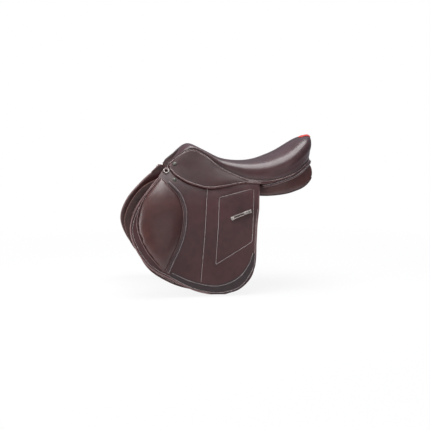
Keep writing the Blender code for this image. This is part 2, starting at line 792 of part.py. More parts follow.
def make_flap():
    head = []
    for t in steps(0, 1, 15):
        top = through(HEAD_TOP, t)
        low = fold_point(t, -FOLD_GAP)
        rise = HEAD_RISE * smooth((t - 0.40) / 0.30)
        head.append([on_face(*top.lerp(low, u), -rise * (1 - smooth(2 * u))) for u in steps(0, 1, 6)])
    sheet("flap_head_near", transposed(head), FLAP_THICK, "leather", flip=True)

    front = [Vector(p) for p in FLAP_FRONT]
    rear = [Vector(p) for p in FLAP_REAR]
    flap = sheet("flap_near", face_grid(front, rear, 13, 10), FLAP_THICK, "leather", flip=True)

    base = face_grid(PAD_FRONT, PAD_REAR, 14, 9, -TOUCH_GAP)
    crown = []
    for i, t in enumerate(steps(0, 1, 14)):
        a, b = through(PAD_FRONT, t), through(PAD_REAR, t)
        full = (math.sin(math.pi * min(1.0, t * 1.04)) if t < 0.96 else 0.0) ** 0.55 if 0 < t < 0.96 else 0.0
        lean = 1.0 - 0.25 * t
        row = []
        for u in steps(0, 1, 9):
            across = (1 - (2 * u - 1) ** 2) ** 0.62
            row.append(on_face(*a.lerp(b, u), -TOUCH_GAP - PAD_EDGE - PAD_CROWN * full * across * lean))
        crown.append(row)
    pad = slab("knee_pad_near", crown, base, "leather")

    line = [through(PAD_REAR, t) for t in steps(0.10, 1.0, 17)]
    inner, outer = [], []
    for i, p in enumerate(line):
        along = (line[min(i + 1, len(line) - 1)] - line[max(i - 1, 0)]).normalized()
        aside = Vector((-along.y, along.x))
        inner.append(p + aside * BAND_INSET)
        outer.append(p + aside * (BAND_INSET + BAND_WIDTH))
    raised = -TOUCH_GAP - BAND_THICK
    rows = [[on_face(*a.lerp(b, u), raised) for u in (0, 0.5, 1)] for a, b in zip(inner, outer)]
    band = sheet("knee_band_near", rows, BAND_THICK, "leather", flip=True)

    raised = -TOUCH_GAP - PATCH_THICK
    rows = []
    for t in steps(0, 1, 17):
        a, b = through(PATCH_INNER, t), through(PATCH_OUTER, t)
        rows.append([on_face(*a.lerp(b, u), raised) for u in (0, 0.5, 1)])
    patch = sheet("flap_patch_near", transposed(rows), PATCH_THICK, "grain_leather", flip=True)

    for obj in (flap, pad, band, patch):
        set_origin(obj, flap_pivot())


def keeper_frame():
    a, b = (Vector(p) for p in KEEPER_LINE)
    p, q = on_face(*a), on_face(*b)
    middle = a.lerp(b, 0.5)
    return p, q, face_normal(*middle)


def make_keeper():
    """The metal loop that holds the stirrup leather's end against the flap."""
    p, q, out = keeper_frame()
    along = (q - p).normalized()
    up = out.cross(along).normalized()
    if up.z < 0:
        up = -up
    length = (q - p).length
    profile = ((0.0, 0.0), (0.09, 0.0), (0.15, 1.0), (0.85, 1.0), (0.91, 0.0), (1.0, 0.0))
    outer, inner = [], []
    for share, lift in profile:
        base = p + along * (length * share)
        seat = max_clearance(base, up) + TOUCH_GAP + lift * KEEPER_LIFT
        outer.append([base + out * (seat + KEEPER_THICK) + up * w for w in (KEEPER_WIDTH / 2, -KEEPER_WIDTH / 2)])
        inner.append([base + out * seat + up * w for w in (KEEPER_WIDTH / 2, -KEEPER_WIDTH / 2)])
    keeper = slab("leather_keeper_near", outer, inner, "steel")
    bevel(keeper, 0.0006)

    at = p + along * (length * BOSS_SHARE)
    top = max_clearance(at, up) + KEEPER_LIFT + KEEPER_THICK + 3 * TOUCH_GAP
    frame = frame_at(at + out * (top + BOSS_HEIGHT / 2), along, out)
    boss = disc("keeper_boss_near", BOSS_RADIUS, BOSS_HEIGHT, frame, "steel", 16)
    bevel(boss, 0.0006)
    for obj in (keeper, boss):
        set_origin(obj, flap_pivot())


def max_clearance(base, up):
    """How far the flap's face bulges past a point on a chord of it."""
    worst = 0.0
    for w in (-0.5, 0, 0.5):
        place = base + up * (KEEPER_WIDTH * w)
        surface = on_face(place.x, place.z)
        worst = max(worst, place.y - surface.y)
    return worst


# Under-flap, its padding and the girth straps


def make_under_flap():
    grid = face_grid(SWEAT_FRONT, SWEAT_REAR, 12, 8, SWEAT_DEPTH)
    sheet("sweat_flap_near", grid, SWEAT_THICK, "leather", flip=True)

    outer = face_grid(KNEE_PANEL_FRONT, KNEE_PANEL_REAR, 11, 8, KNEE_PANEL_DEPTH)
    inner = []
    for t in steps(0, 1, 11):
        a, b = through(KNEE_PANEL_FRONT, t), through(KNEE_PANEL_REAR, t)
        full = smooth(min(t, 1 - t) * 4)
        row = []
        for u in steps(0, 1, 8):
            across = (1 - (2 * u - 1) ** 4) ** 0.5 * (1 - 0.45 * u)
            row.append(on_face(*a.lerp(b, u), KNEE_PANEL_DEPTH + 0.003 + KNEE_PANEL_THICK * full * across))
        inner.append(row)
    slab("knee_roll_near", outer, inner, "leather")

    left = min(BILLET_X) - BILLET_WIDTH / 2 - WEB_OVERLAP
    right = max(BILLET_X) + BILLET_WIDTH / 2 + WEB_OVERLAP
    band_grid = [[on_face(x, z, WEB_DEPTH) for x in steps(left, right, 7)]
                 for z in steps(WEB_TOP_Z, WEB_TOP_Z - WEB_HEIGHT, 4)]
    sheet("billet_web_near", band_grid, WEB_THICK, "webbing", flip=True)

    for x, name in zip(BILLET_X, BILLET_NAMES):
        make_billet(x, f"billet_{name}_near")

    guard_grid = [[on_face(x, z, GUARD_DEPTH) for x in steps(left, right, 5)]
                  for z in steps(GUARD_TOP_Z, GUARD_TOP_Z - GUARD_HEIGHT, 7)]
    guard = sheet("buckle_guard_near", guard_grid, GUARD_THICK, "leather", flip=True)
    set_origin(guard, guard_pivot())


def guard_pivot():
    """Centre of the curve that the billets follow behind the guard."""
    z = GUARD_TOP_Z - GUARD_HEIGHT / 2
    x = BILLET_X[1]
    step = 0.02
    a, b, c = (on_face(x, z + d, GUARD_DEPTH) for d in (step, 0.0, -step))
    ab, bc = b - a, c - b
    turn = ab.angle(bc)
    radius = (ab.length + bc.length) / 2 / turn
    return b - face_normal(x, z) * radius


def make_billet(x, name):
    half = BILLET_WIDTH / 2
    levels = steps(BILLET_TOP_Z, BILLET_TIP_Z + BILLET_POINT, 10) + [BILLET_TIP_Z + BILLET_POINT / 3, BILLET_TIP_Z]
    widths = [half] * 10 + [half * 0.72, half * 0.35]
    grid = [[on_face(x + w * side, z, BILLET_DEPTH) for side in (-1, 0, 1)] for z, w in zip(levels, widths)]
    billet = sheet(name, grid, BILLET_THICK, "leather", flip=True)
    first = BILLET_TIP_Z + BILLET_POINT + 0.012
    places = []
    for i in range(BILLET_HOLES):
        z = first + BILLET_HOLE_PITCH * i
        places.append(frame_at(on_face(x, z, BILLET_DEPTH + BILLET_THICK / 2), (1, 0, 0), face_normal(x, z)))
    boolean(billet, holes_cutter(name + "_holes", places, BILLET_HOLE_RADIUS, 4 * BILLET_THICK), "DIFFERENCE")
    set_origin(billet, on_face(x, BILLET_TOP_Z - BILLET_PIVOT_DROP, BILLET_DEPTH + BILLET_THICK / 2))


def holes_cutter(name, frames, radius, depth):
    shape = bmesh.new()
    for frame in frames:
        bmesh.ops.create_cone(shape, cap_ends=True, segments=6, radius1=radius, radius2=radius, depth=depth,
                              matrix=frame)
    mesh = bpy.data.meshes.new(name)
    shape.to_mesh(mesh)
    shape.free()
    cutter = link(mesh, name, "steel")
    as_helper(cutter)
    return cutter


# Panels


def panel_section(row):
    x = row[0]
    corners = [Vector((x, -y, z)) for y, z in row[1:]]
    points = []
    for i in range(PANEL_POINTS):
        angle = 2 * math.pi * i / PANEL_POINTS
        u = math.copysign(abs(math.cos(angle)) ** PANEL_SQUARE, math.cos(angle)) * 0.5 + 0.5
        v = math.copysign(abs(math.sin(angle)) ** PANEL_SQUARE, math.sin(angle)) * 0.5 + 0.5
        top = corners[0].lerp(corners[1], u)
        low = corners[3].lerp(corners[2], u)
        points.append(low.lerp(top, v))
    return points


def panel_corners(row):
    """A station's x and its four corners as (y, z)."""
    x, top_inner, top_outer, low_outer, low_inner = row
    outer = [(face_half(x, z) - inset, z) for inset, z in (top_outer, low_outer)]
    return x, top_inner, outer[0], outer[1], low_inner


def make_panel():
    rows = []
    stations = [panel_corners(row) for row in PANEL_STATIONS]
    flat = [(row[0], *[value for corner in row[1:] for value in corner]) for row in stations]
    knots = list(range(len(flat)))
    for s in steps(0, len(flat) - 1, 17):
        values = [at_knot([Vector((row[k], 0, 0)) for row in flat], knots, s).x for k in range(9)]
        rows.append((values[0], values[1:3], values[3:5], values[5:7], values[7:9]))
    loft("panel_near", [panel_section(row) for row in rows], "leather")


# Small metal


def disc(name, radius, height, frame, material, segments=16):
    shape = bmesh.new()
    bmesh.ops.create_cone(shape, cap_ends=True, segments=segments, radius1=radius, radius2=radius, depth=height)
    mesh = bpy.data.meshes.new(name)
    shape.to_mesh(mesh)
    shape.free()
    obj = link(mesh, name, material)
    obj.matrix_world = frame
    return obj


def dome(name, radius, height, frame, material):
    """A flat-backed domed nail head."""
    shape = bmesh.new()
    bmesh.ops.create_uvsphere(shape, u_segments=12, v_segments=6, radius=radius)
    spare = [v for v in shape.verts if v.co.z < -1e-6]
    bmesh.ops.delete(shape, geom=spare, context="VERTS")
    rim = [e for e in shape.edges if e.is_boundary]
    bmesh.ops.contextual_create(shape, geom=rim)
    bmesh.ops.scale(shape, verts=shape.verts, vec=(1, 1, height / radius))
    bmesh.ops.recalc_face_normals(shape, faces=shape.faces)
    mesh = bpy.data.meshes.new(name)
    shape.to_mesh(mesh)
    shape.free()
    obj = link(mesh, name, material)
    obj.matrix_world = frame
    return obj


def bevel(obj, width):
    made = obj.modifiers.new("bevel", "BEVEL")
    made.width = width
    made.segments = 1
    made.limit_method = "ANGLE"


def make_nails():
    s, u = SKIRT_NAIL
    place = skirt_profile(s, u)
    along = skirt_profile(s + 0.1, u) - skirt_profile(s - 0.1, u)
    down = skirt_profile(s, u + 0.1) - skirt_profile(s, u - 0.1)
    out = down.cross(along).normalized()
    if out.y > 0:
        out = -out
    frame = frame_at(place + out * 1.9 * TOUCH_GAP, along, out)
    dome("skirt_nail_near", NAIL_RADIUS, NAIL_HEIGHT, frame, "steel")
    out = face_normal(*FLAP_NAIL)
    frame = frame_at(on_face(*FLAP_NAIL, -1.5 * TOUCH_GAP), (1, 0, 0), out)
    dome("flap_nail_near", NAIL_RADIUS, NAIL_HEIGHT, frame, "steel")


def make_dee():
    out = face_normal(*DEE_AT)
    centre = on_face(*DEE_AT, -DEE_LIFT)
    frame = frame_at(centre, (1, 0, 0), out)
    half = DEE_WIDTH / 2
    ring = [(-half, 0), (-half / 2, 0), (0, 0), (half / 2, 0), (half, 0)]
    for i in range(1, 12):
        angle = math.pi * i / 12
        ring.append((half * math.cos(angle), -DEE_DEPTH * math.sin(angle) ** 0.8))
    dee = tube("dee_near", [frame @ Vector((x, y, 0)) for x, y in ring], DEE_WIRE, "steel", closed=True)
    mesh = converted(dee)
    set_origin(mesh, centre)

    chape_centre = (0, CHAPE_SIZE[1] / 2 - 0.0028, CHAPE_SIZE[2] / 2 - DEE_LIFT + TOUCH_GAP)
    chape = box("dee_chape_near", CHAPE_SIZE, frame, "leather", chape_centre)
    hole = frame_at(centre, (0, 0, 1), frame.to_3x3() @ Vector((1, 0, 0)))
    boolean(chape, holes_cutter("dee_chape_hole", [hole], DEE_WIRE + TOUCH_GAP, 0.03), "DIFFERENCE")


def converted(obj):
    """A curve made into a mesh of the same name."""
    graph = bpy.context.evaluated_depsgraph_get()
    mesh = bpy.data.meshes.new_from_object(obj.evaluated_get(graph))
    name = obj.name
    bpy.data.objects.remove(obj, do_unlink=True)
    made = bpy.data.objects.new(name, mesh)
    PARTS.objects.link(made)
    weld(mesh)
    mesh.shade_smooth()
    return made


# Stirrup bar


def bar_frame():
    s = BAR_STATION
    wall = [near(at_station(TREE_DECK_EDGE, s)).lerp(near(at_station(TREE_WALL_END, s)), share)
            for share in (0.3, 0.5, 0.7)]
    ahead = [near(at_station(TREE_DECK_EDGE, s + d)).lerp(near(at_station(TREE_WALL_END, s + d)), 0.5)
             for d in (-0.5, 0.5)]
    along = ahead[0] - ahead[1]
    up = wall[0] - wall[2]
    return frame_at(wall[1], along, up)


def outline_solid(name, outline, height, frame, material):
    """A flat outline given a height, centred on the frame's own XY plane."""
    curve = bpy.data.curves.new(name, "CURVE")
    curve.dimensions = "2D"
    curve.fill_mode = "BOTH"
    curve.extrude = height / 2
    line = curve.splines.new("POLY")
    line.points.add(len(outline) - 1)
    for target, (x, y) in zip(line.points, outline):
        target.co = (x, y, 0, 1)
    line.use_cyclic_u = True
    curve.materials.append(MATERIALS[material])
    obj = bpy.data.objects.new(name, curve)
    PARTS.objects.link(obj)
    obj = converted(obj)
    obj.data.set_sharp_from_angle(angle=math.radians(30))
    obj.matrix_world = frame
    return obj


def make_stirrup_bar(tree):
    frame = bar_frame()
    half = BAR_LENGTH / 2
    back = -BAR_RECESS + TOUCH_GAP
    plate = back + BAR_PLATE_THICK
    inside = plate + BAR_SLOT
    outside = inside + BAR_ARM_THICK
    arm = BAR_ARM_THICK
    core = back + BAR_PLATE_THICK / 2
    outline = [(half - 0.002 - arm, core), (half - 0.002, core), (half - 0.002, outside - 0.003),
               (half - 0.005, outside), (-half + 0.012, outside), (-half + 0.010, outside - 0.002),
               (-half + 0.010, inside), (half - 0.002 - arm, inside)]
    bar = outline_solid("stirrup_bar_near", outline, BAR_ARM_HEIGHT, frame, "steel")
    plate_box = box("stirrup_bar_plate", (BAR_LENGTH, BAR_PLATE_THICK, BAR_PLATE_HEIGHT), frame, "steel",
                    (0, back + BAR_PLATE_THICK / 2, 0))
    boolean(bar, plate_box, "UNION")
    as_helper(plate_box)

    room = 2 * TOUCH_GAP
    recess = box("stirrup_bar_recess", (BAR_LENGTH + room, 0.02, BAR_PLATE_HEIGHT + room), frame, "steel",
                 (0, -BAR_RECESS + 0.01, 0))
    boolean(tree, recess, "DIFFERENCE")
    as_helper(recess)
    other = mirrored_object(recess, "stirrup_bar_recess_off")
    boolean(tree, other, "DIFFERENCE")
    as_helper(other)

    # The catch closes the bar's open rear end and turns back to let the leather out
    pin_x = -half + 0.0045
    pin_y = plate + TOUCH_GAP + CATCH_THICK
    tongue = [(pin_x + CATCH_THICK, pin_y), (pin_x + 0.0021, pin_y - 0.0021), (pin_x, pin_y - CATCH_THICK),
              (pin_x - 0.0021, pin_y - 0.0021), (pin_x - CATCH_THICK, pin_y),
              (pin_x - 0.002, outside - 0.002), (pin_x, outside), (pin_x + 0.002, outside - 0.002)]
    catch = outline_solid("bar_catch_near", tongue, BAR_ARM_HEIGHT - 0.001, frame, "steel")
    set_origin(catch, frame @ Vector((pin_x, pin_y, 0)))

    for place, name in ((half - 0.012, "front"), (-half + 0.020, "rear")):
        spot = frame @ Matrix.Translation((place, plate + TOUCH_GAP + RIVET_HEAD / 2, 0.0075))
        spot = spot @ Matrix.Rotation(math.pi / 2, 4, "X")
        disc(f"bar_rivet_{name}_near", RIVET_RADIUS, RIVET_HEAD, spot, "steel", 12)


# Origins and the off side


def set_origin(obj, place):
    """Moves a piece's origin, but not the piece, to a place on its joint's axis."""
    shift = Matrix.Translation(place).inverted() @ obj.matrix_world
    obj.data.transform(shift)
    obj.matrix_world = Matrix.Translation(place)


def mirrored_object(obj, name):
    graph = bpy.context.evaluated_depsgraph_get()
    mesh = bpy.data.meshes.new_from_object(obj.evaluated_get(graph))
    mesh.name = name
    place = obj.matrix_world.translation.copy()
    keep = Matrix.Translation(place).inverted() @ obj.matrix_world
    mesh.transform(keep)
    mesh.transform(Matrix.Scale(-1, 4, (0, 1, 0)))
    mesh.flip_normals()
    made = bpy.data.objects.new(name, mesh)
    made.location = (place.x, -place.y, place.z)
    PARTS.objects.link(made)
    return made


def make_off_side():
    bpy.context.view_layer.update()
    for obj in [o for o in PARTS.objects if o.name.endswith("_near")]:
        mirrored_object(obj, obj.name[:-4] + "off")


def main():
    make_seat()
    tree = make_tree()
    make_facing()
    make_inlay()
    make_piping()
    make_skirt()
    make_flap()
    make_keeper()
    make_under_flap()
    make_panel()
    make_nails()
    make_dee()
    make_stirrup_bar(tree)
    make_off_side()


clear_scene()
PARTS = new_collection("jumping_saddle")
HELPERS = new_collection("cutters")
MATERIALS = {name: new_material(name) for name in COLOURS}
main()
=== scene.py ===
"""The jumping saddle as it looks: leathers, padding, piping and stitching round the fixed frame.

The near (left) side is made first, at -Y, and each of its pieces is then mirrored to the off side.
"""

import json
import math

import bmesh
import bpy
import numpy as np
from mathutils import Matrix, Vector
from mathutils.bvhtree import BVHTree


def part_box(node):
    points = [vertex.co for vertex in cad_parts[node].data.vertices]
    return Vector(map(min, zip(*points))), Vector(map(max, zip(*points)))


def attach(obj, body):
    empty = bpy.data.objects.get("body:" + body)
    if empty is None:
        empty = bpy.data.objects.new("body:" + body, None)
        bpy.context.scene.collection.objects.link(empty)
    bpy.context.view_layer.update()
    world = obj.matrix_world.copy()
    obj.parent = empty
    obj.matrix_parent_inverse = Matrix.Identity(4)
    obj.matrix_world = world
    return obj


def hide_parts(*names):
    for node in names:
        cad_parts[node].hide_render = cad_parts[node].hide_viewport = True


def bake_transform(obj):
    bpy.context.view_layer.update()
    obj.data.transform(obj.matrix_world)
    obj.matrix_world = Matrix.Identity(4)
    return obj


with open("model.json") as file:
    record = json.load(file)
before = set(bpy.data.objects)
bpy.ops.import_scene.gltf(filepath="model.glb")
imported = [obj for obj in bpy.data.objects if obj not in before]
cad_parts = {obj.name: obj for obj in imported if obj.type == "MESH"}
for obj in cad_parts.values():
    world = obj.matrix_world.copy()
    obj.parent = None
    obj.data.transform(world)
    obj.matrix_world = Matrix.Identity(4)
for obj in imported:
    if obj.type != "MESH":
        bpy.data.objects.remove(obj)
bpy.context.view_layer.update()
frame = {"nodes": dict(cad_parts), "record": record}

# The flap's outer face: its half width over x and z, and what lies on it, as (x, z)
FACE_TOP_Z, FACE_TOP_HALF, FACE_FLARE, FACE_DROP = 0.090, 0.073, 0.142, 0.170
SHOULDER_START, SHOULDER_RUN, SHOULDER_SWELL = -0.140, 0.200, 0.014
FLAP_FOLD = ((-0.264, 0.0625), (0.032, -0.036))
SKIRT_FOLD = ((-0.228, 0.091), (0.004, 0.041))
FLAP_FRONT = ((-0.264, 0.0625), (-0.292, 0.034), (-0.337, -0.024), (-0.357, -0.084), (-0.342, -0.140),
              (-0.303, -0.194), (-0.239, -0.232), (-0.170, -0.266), (-0.125, -0.278))
FLAP_REAR = ((0.032, -0.036), (0.024, -0.078), (0.018, -0.133), (0.013, -0.190), (-0.001, -0.232),
             (-0.036, -0.265), (-0.080, -0.279))
FLAP_TOP_REAR = (0.0405, 0.036)
HEAD_TOP = ((-0.264, 0.0650), (-0.251, 0.0800), (-0.239, 0.0905), (-0.231, 0.0890), (-0.222, 0.0865),
            (-0.205, 0.0890), (-0.188, 0.0820), (-0.166, 0.052), (-0.115, 0.040), (-0.070, 0.038),
            (-0.040, 0.0405), (0.000, 0.0440), (0.042, 0.0425))
HEAD_RISE = 0.0024
SWEAT_FRONT = ((-0.225, 0.062), (-0.285, 0.028), (-0.325, -0.024), (-0.346, -0.084), (-0.336, -0.142),
               (-0.303, -0.198), (-0.243, -0.239), (-0.190, -0.259), (-0.130, -0.268))
SWEAT_REAR = ((0.012, 0.026), (0.006, -0.012), (0.000, -0.070), (-0.004, -0.130), (-0.010, -0.190),
              (-0.028, -0.235), (-0.075, -0.264))
KNEE_ROLL_FRONT = ((-0.226, 0.050), (-0.272, 0.018), (-0.306, -0.030), (-0.326, -0.084),
                   (-0.316, -0.138), (-0.280, -0.188))
KNEE_ROLL_REAR = ((-0.020, 0.012), (-0.050, -0.020), (-0.110, -0.060), (-0.150, -0.110),
                  (-0.180, -0.160), (-0.230, -0.206))
PAD_FRONT = ((-0.257, 0.060), (-0.285, 0.034), (-0.318, -0.006), (-0.336, -0.060), (-0.332, -0.100),
             (-0.310, -0.148), (-0.279, -0.187), (-0.259, -0.207))
PAD_REAR = ((-0.256, 0.060), (-0.236, 0.036), (-0.209, 0.004), (-0.198, -0.040), (-0.204, -0.090),
            (-0.220, -0.135), (-0.240, -0.172), (-0.257, -0.207))
PATCH_INNER = ((-0.237, -0.209), (-0.178, -0.236), (-0.105, -0.250), (-0.043, -0.229), (-0.010, -0.192),
               (0.004, -0.162))
PATCH_OUTER = ((-0.247, -0.2235), (-0.179, -0.2600), (-0.105, -0.2768), (-0.035, -0.2622),
               (0.0078, -0.206), (0.0140, -0.162))
FLAP_SEAM = ((-0.121, 0.030), (-0.127, -0.012), (-0.135, -0.082), (-0.143, -0.149), (-0.150, -0.208),
             (-0.1535, -0.240))
PANEL_CORNERS = ((-0.086, 0.001), (0.021, 0.024), (0.005, -0.128), (-0.107, -0.192))
PANEL_CORNER_RADIUS = 0.006
FLAP_SWELL, FLAP_SWELL_REACH, FLAP_SWELL_HEIGHT = (-0.008, 0.014), (0.040, 0.026), 0.0026
SEAM_WIDTH = 0.0022

# Thicknesses, and depths under the flap's outer face
FLAP_THICK, SWEAT_THICK, COVER_THICK, GUARD_THICK, PATCH_THICK = 0.004, 0.0035, 0.0025, 0.0020, 0.0012
WEB_DEPTH, BILLET_DEPTH, GUARD_DEPTH = 0.0089, 0.01085, 0.00815
SWEAT_DEPTH, KNEE_ROLL_DEPTH = 0.01525, 0.02025
TOUCH_GAP = 0.0004

# Seat: points of the spine as (x, z), and at each station the seam, the spine's x, the shares of the way
# out with a rise for the second control point, and how far out and up the third one lies from the seam
SEAT_SPINE = ((-0.190, 0.1420), (-0.181, 0.1515), (-0.168, 0.1585), (-0.152, 0.1575), (-0.113, 0.1375),
              (-0.061, 0.1130), (0.000, 0.1035), (0.052, 0.1065), (0.105, 0.1225), (0.110, 0.1245))
SPINE_END_X = 0.110
SEAT_STATIONS = (
    ((-0.2277, 0.060, 0.1015), -0.190, (0.05, 0.50, -0.004), (-0.020, 0.008)),
    ((-0.198, 0.060, 0.125), -0.172, (0.10, 0.50, -0.002), (-0.008, 0.010)),
    ((-0.170, 0.055, 0.142), -0.158, (0.40, 0.50, 0.000), (0.000, 0.011)),
    ((-0.148, 0.052, 0.145), -0.142, (0.50, 0.50, 0.000), (0.003, 0.008)),
    ((-0.113, 0.054, 0.125), -0.113, (0.50, 0.50, 0.000), (0.005, 0.013)),
    ((-0.061, 0.068, 0.084), -0.061, (0.50, 0.50, 0.000), (0.008, 0.028)),
    ((0.000, 0.095, 0.057), 0.000, (0.48, 0.48, 0.000), (0.012, 0.050)),
    ((0.060, 0.114, 0.052), 0.060, (0.48, 0.48, 0.001), (0.014, 0.063)),
    ((0.110, 0.119, 0.060), 0.105, (0.48, 0.48, 0.004), (0.014, 0.073)),
    ((0.150, 0.112, 0.075), 0.110, (0.46, 0.46, 0.010), (0.016, 0.086)),
    ((0.185, 0.092, 0.096), 0.110, (0.46, 0.46, 0.018), (0.022, 0.099)),
    ((0.208, 0.055, 0.110), 0.110, (0.46, 0.46, 0.024), (0.034, 0.118)),
    ((0.218, 0.000, 0.116), 0.110, (0.46, 0.46, 0.026), (0.046, 0.129)),
)
SEAT_LAST = len(SEAT_STATIONS) - 1
SKIRT_EDGE = ((-0.2295, 0.0885), (-0.216, 0.0705), (-0.190, 0.052), (-0.160, 0.039), (-0.115, 0.028),
              (-0.066, 0.032), (0.003, 0.0415))
STRIP_EDGE = ((0.060, 0.1190, 0.039), (0.109, 0.1235, 0.053), (0.1505, 0.1155, 0.067),
              (0.1865, 0.0935, 0.088), (0.2105, 0.0560, 0.102), (0.2205, 0.0000, 0.108))
SKIRT_REAR, STRIP_LAST = 6, 11.97
SKIRT_PROUD, SKIRT_BULGE, SKIRT_THICK, SEAM_GAP = 0.006, 0.004, 0.0030, 0.0013
SKIRT_STITCH_INSET = 0.0045
INLAY_FIRST, INLAY_MIDDLE, INLAY_HALF = 11.52, 0.60, 0.15
INLAY_PROUD, INLAY_THICK = 0.0009, 0.0011

# Panels: x, then the top inner, top outer, low outer and low inner corner as (y, z)
PANEL_STATIONS = (
    (-0.205, (0.044, 0.064), (0.058, 0.060), (0.080, 0.026), (0.058, 0.030)),
    (-0.190, (0.040, 0.070), (0.060, 0.066), (0.089, 0.014), (0.052, 0.020)),
    (-0.113, (0.036, 0.069), (0.0665, 0.0573), (0.096, 0.005), (0.040, 0.010)),
    (-0.040, (0.035, 0.066), (0.077, 0.0545), (0.101, 0.001), (0.038, 0.008)),
    (0.020, (0.036, 0.063), (0.0916, 0.0475), (0.1087, -0.001), (0.038, 0.008)),
    (0.070, (0.037, 0.062), (0.109, 0.0430), (0.114, -0.002), (0.040, 0.008)),
    (0.120, (0.039, 0.069), (0.113, 0.0552), (0.114, 0.002), (0.042, 0.011)),
    (0.155, (0.040, 0.087), (0.103, 0.0725), (0.106, 0.010), (0.044, 0.017)),
    (0.185, (0.041, 0.104), (0.087, 0.0895), (0.095, 0.021), (0.046, 0.026)),
    (0.206, (0.043, 0.103), (0.067, 0.093), (0.081, 0.038), (0.049, 0.040)),
    (0.2155, (0.046, 0.090), (0.060, 0.085), (0.073, 0.056), (0.051, 0.058)),
)
PANEL_SQUARE, PANEL_SIDES = 0.44, 64
PANEL_TOP_SEAM, PANEL_LOW_SEAM, PANEL_HELD = 7, 57, (0, 7, 25, 39, 57)
PANEL_END = ((0.75, 0.0022), (0.45, 0.0034), (0.15, 0.0038))
PIPING_PATH = ((0.050, 0.1140, 0.0330), (0.080, 0.1170, 0.0385), (0.110, 0.1190, 0.0478),
               (0.152, 0.1120, 0.0622), (0.189, 0.0915, 0.0835), (0.2125, 0.0550, 0.0985),
               (0.2195, 0.0200, 0.1038), (0.2205, 0.0000, 0.1043))
PIPING_CENTRE, CORD_DROP = (0.10, 0, 0.06), 0.0008
FACING_LOW = ((-0.199, 0.000, 0.108), (-0.204, 0.030, 0.105), (-0.2125, 0.046, 0.094),
              (-0.2160, 0.0525, 0.080), (-0.2130, 0.0555, 0.066))
FACING_SIDE = ((-0.2270, 0.068, 0.0945), (-0.2275, 0.0755, 0.086), (-0.2230, 0.0760, 0.076),
               (-0.2160, 0.0740, 0.066))
LINING_X, LINING_HALF = (-0.196, 0.196), 0.052
LINING_FRONT, LINING_WIDENS = 0.74, 0.07
LINING_GAP, LINING_THICK, LINING_FEEL, LINING_BELOW = 0.0008, 0.0016, 0.004, -0.1

# Girth straps
BILLET_X = {"front": -0.101, "middle": -0.055, "rear": -0.009}
BILLET_TOP_Z, BILLET_TIP_Z, BILLET_POINT, BILLET_WIDTH, BILLET_THICK = 0.022, -0.228, 0.016, 0.025, 0.0035
BILLET_HOLES, BILLET_HOLE_PITCH, BILLET_HOLE_RADIUS, BILLET_HOLE_FIRST = 7, 0.025, 0.0028, 0.012
BILLET_SEAM_HALF, BILLET_SEAM_Z, BILLET_SEAM_SUNK = 0.0095, (-0.007, -0.208), 0.00018
PUNCH_DEPTH, PUNCH_LENGTH = 0.006, 0.012
WEB_TOP_Z, WEB_HEIGHT, WEB_OVERLAP, WEB_THICK = 0.028, 0.030, 0.008, 0.0015
GUARD_X, GUARD_Z, GUARD_SEAM_INSET = (-0.1215, 0.0115), (-0.034, -0.124), 0.004

# Metal
FLAP_NAIL, SKIRT_NAIL = (-0.2172, 0.0540), (1.02, 0.78)
NAIL_PROFILE = ((0.0, 0.0), (0.0055, 0.0), (0.0057, 0.0005), (0.0054, 0.0009), (0.0047, 0.0009),
                (0.0043, 0.0013), (0.0033, 0.0020), (0.0017, 0.0025), (0.0, 0.0026))
BOSS_PROFILE = ((0.0, 0.0), (0.0052, 0.0), (0.0053, 0.0008), (0.0048, 0.0014), (0.0040, 0.0014),
                (0.0037, 0.0010), (0.0028, 0.0019), (0.0014, 0.0023), (0.0, 0.0024))
NAIL_SUNK, BOSS_SUNK = 0.0010, 0.0011
KEEPER_ENDS = ((-0.055, -0.062), (0.008, -0.040))
KEEPER_FOOT, KEEPER_SLOPE, KEEPER_LIFT, KEEPER_CROWN = 0.09, 0.06, 0.0060, 0.0004
KEEPER_WIDTH, KEEPER_RAIL_THICK, KEEPER_STRAP_THICK = 0.0095, 0.0018, 0.0010
DEE_AT, DEE_WIDTH, DEE_DEPTH, DEE_WIRE, DEE_LIFT = (-0.2400, 0.0815), 0.016, 0.012, 0.0014, 0.0037
DEE_STRAP_HALF, DEE_STRAP_THICK, DEE_STRAP_LONG = 0.0042, 0.0011, 0.0058

# Sewing: each ring of a stitch as (place along it, width, rise), places of seams and radii of welts
THREAD_RINGS = ((-0.50, 0.30, -0.9), (-0.38, 0.85, 0.0), (0.0, 1.0, 0.45), (0.38, 0.85, 0.0),
                (0.50, 0.30, -0.9))
THREAD_SIDES, THREAD_FLAT, THREAD_SINK = 6, 0.8, 0.25
FLAP_SEAM_ASIDE, FLAP_FRONT_INSET, FLAP_REAR_INSET, FLAP_REAR_SHARE = 0.0016, 0.0075, 0.0048, 0.62
SEAT_WELT, FLAP_WELT, FLAP_BINDING = 0.0015, 0.0024, 0.0014
PAD_WELT, PANEL_WELT, POMMEL_WELT = 0.0014, 0.0014, 0.0014
SEAT_TUCK, SEAT_TUCK_FROM, SEAT_TUCK_AT, SEAT_TUCK_WIDTH = 0.0012, 6.5, 0.93, 0.022
BAND_FROM, BAND_TO, BAND_RISE, BAND_THICK = 0.003, 0.013, 0.0022, 0.0014
BAND_SEAM_ASIDE, BAND_SEAM_LIFT = 0.0098, 0.0022

# Padding: a cap is how far the filling may move a piece, a hold how near its sewn edge it stays put
CLOTH_STEPS, CLOTH_VOXEL, CLOTH_PRESSURE = 16, 0.005, 2.5
PAD_CAP, PAD_HOLD, ROLL_HOLD, PANEL_CAP, PANEL_HOLD = 0.003, 0.0035, 0.0025, 0.005, 0.0035
PAD_HEIGHT, PAD_RIM, PAD_INSET, ROLL_HEIGHT, ROLL_RIM = 0.018, 0.0012, 0.012, 0.014, 0.003

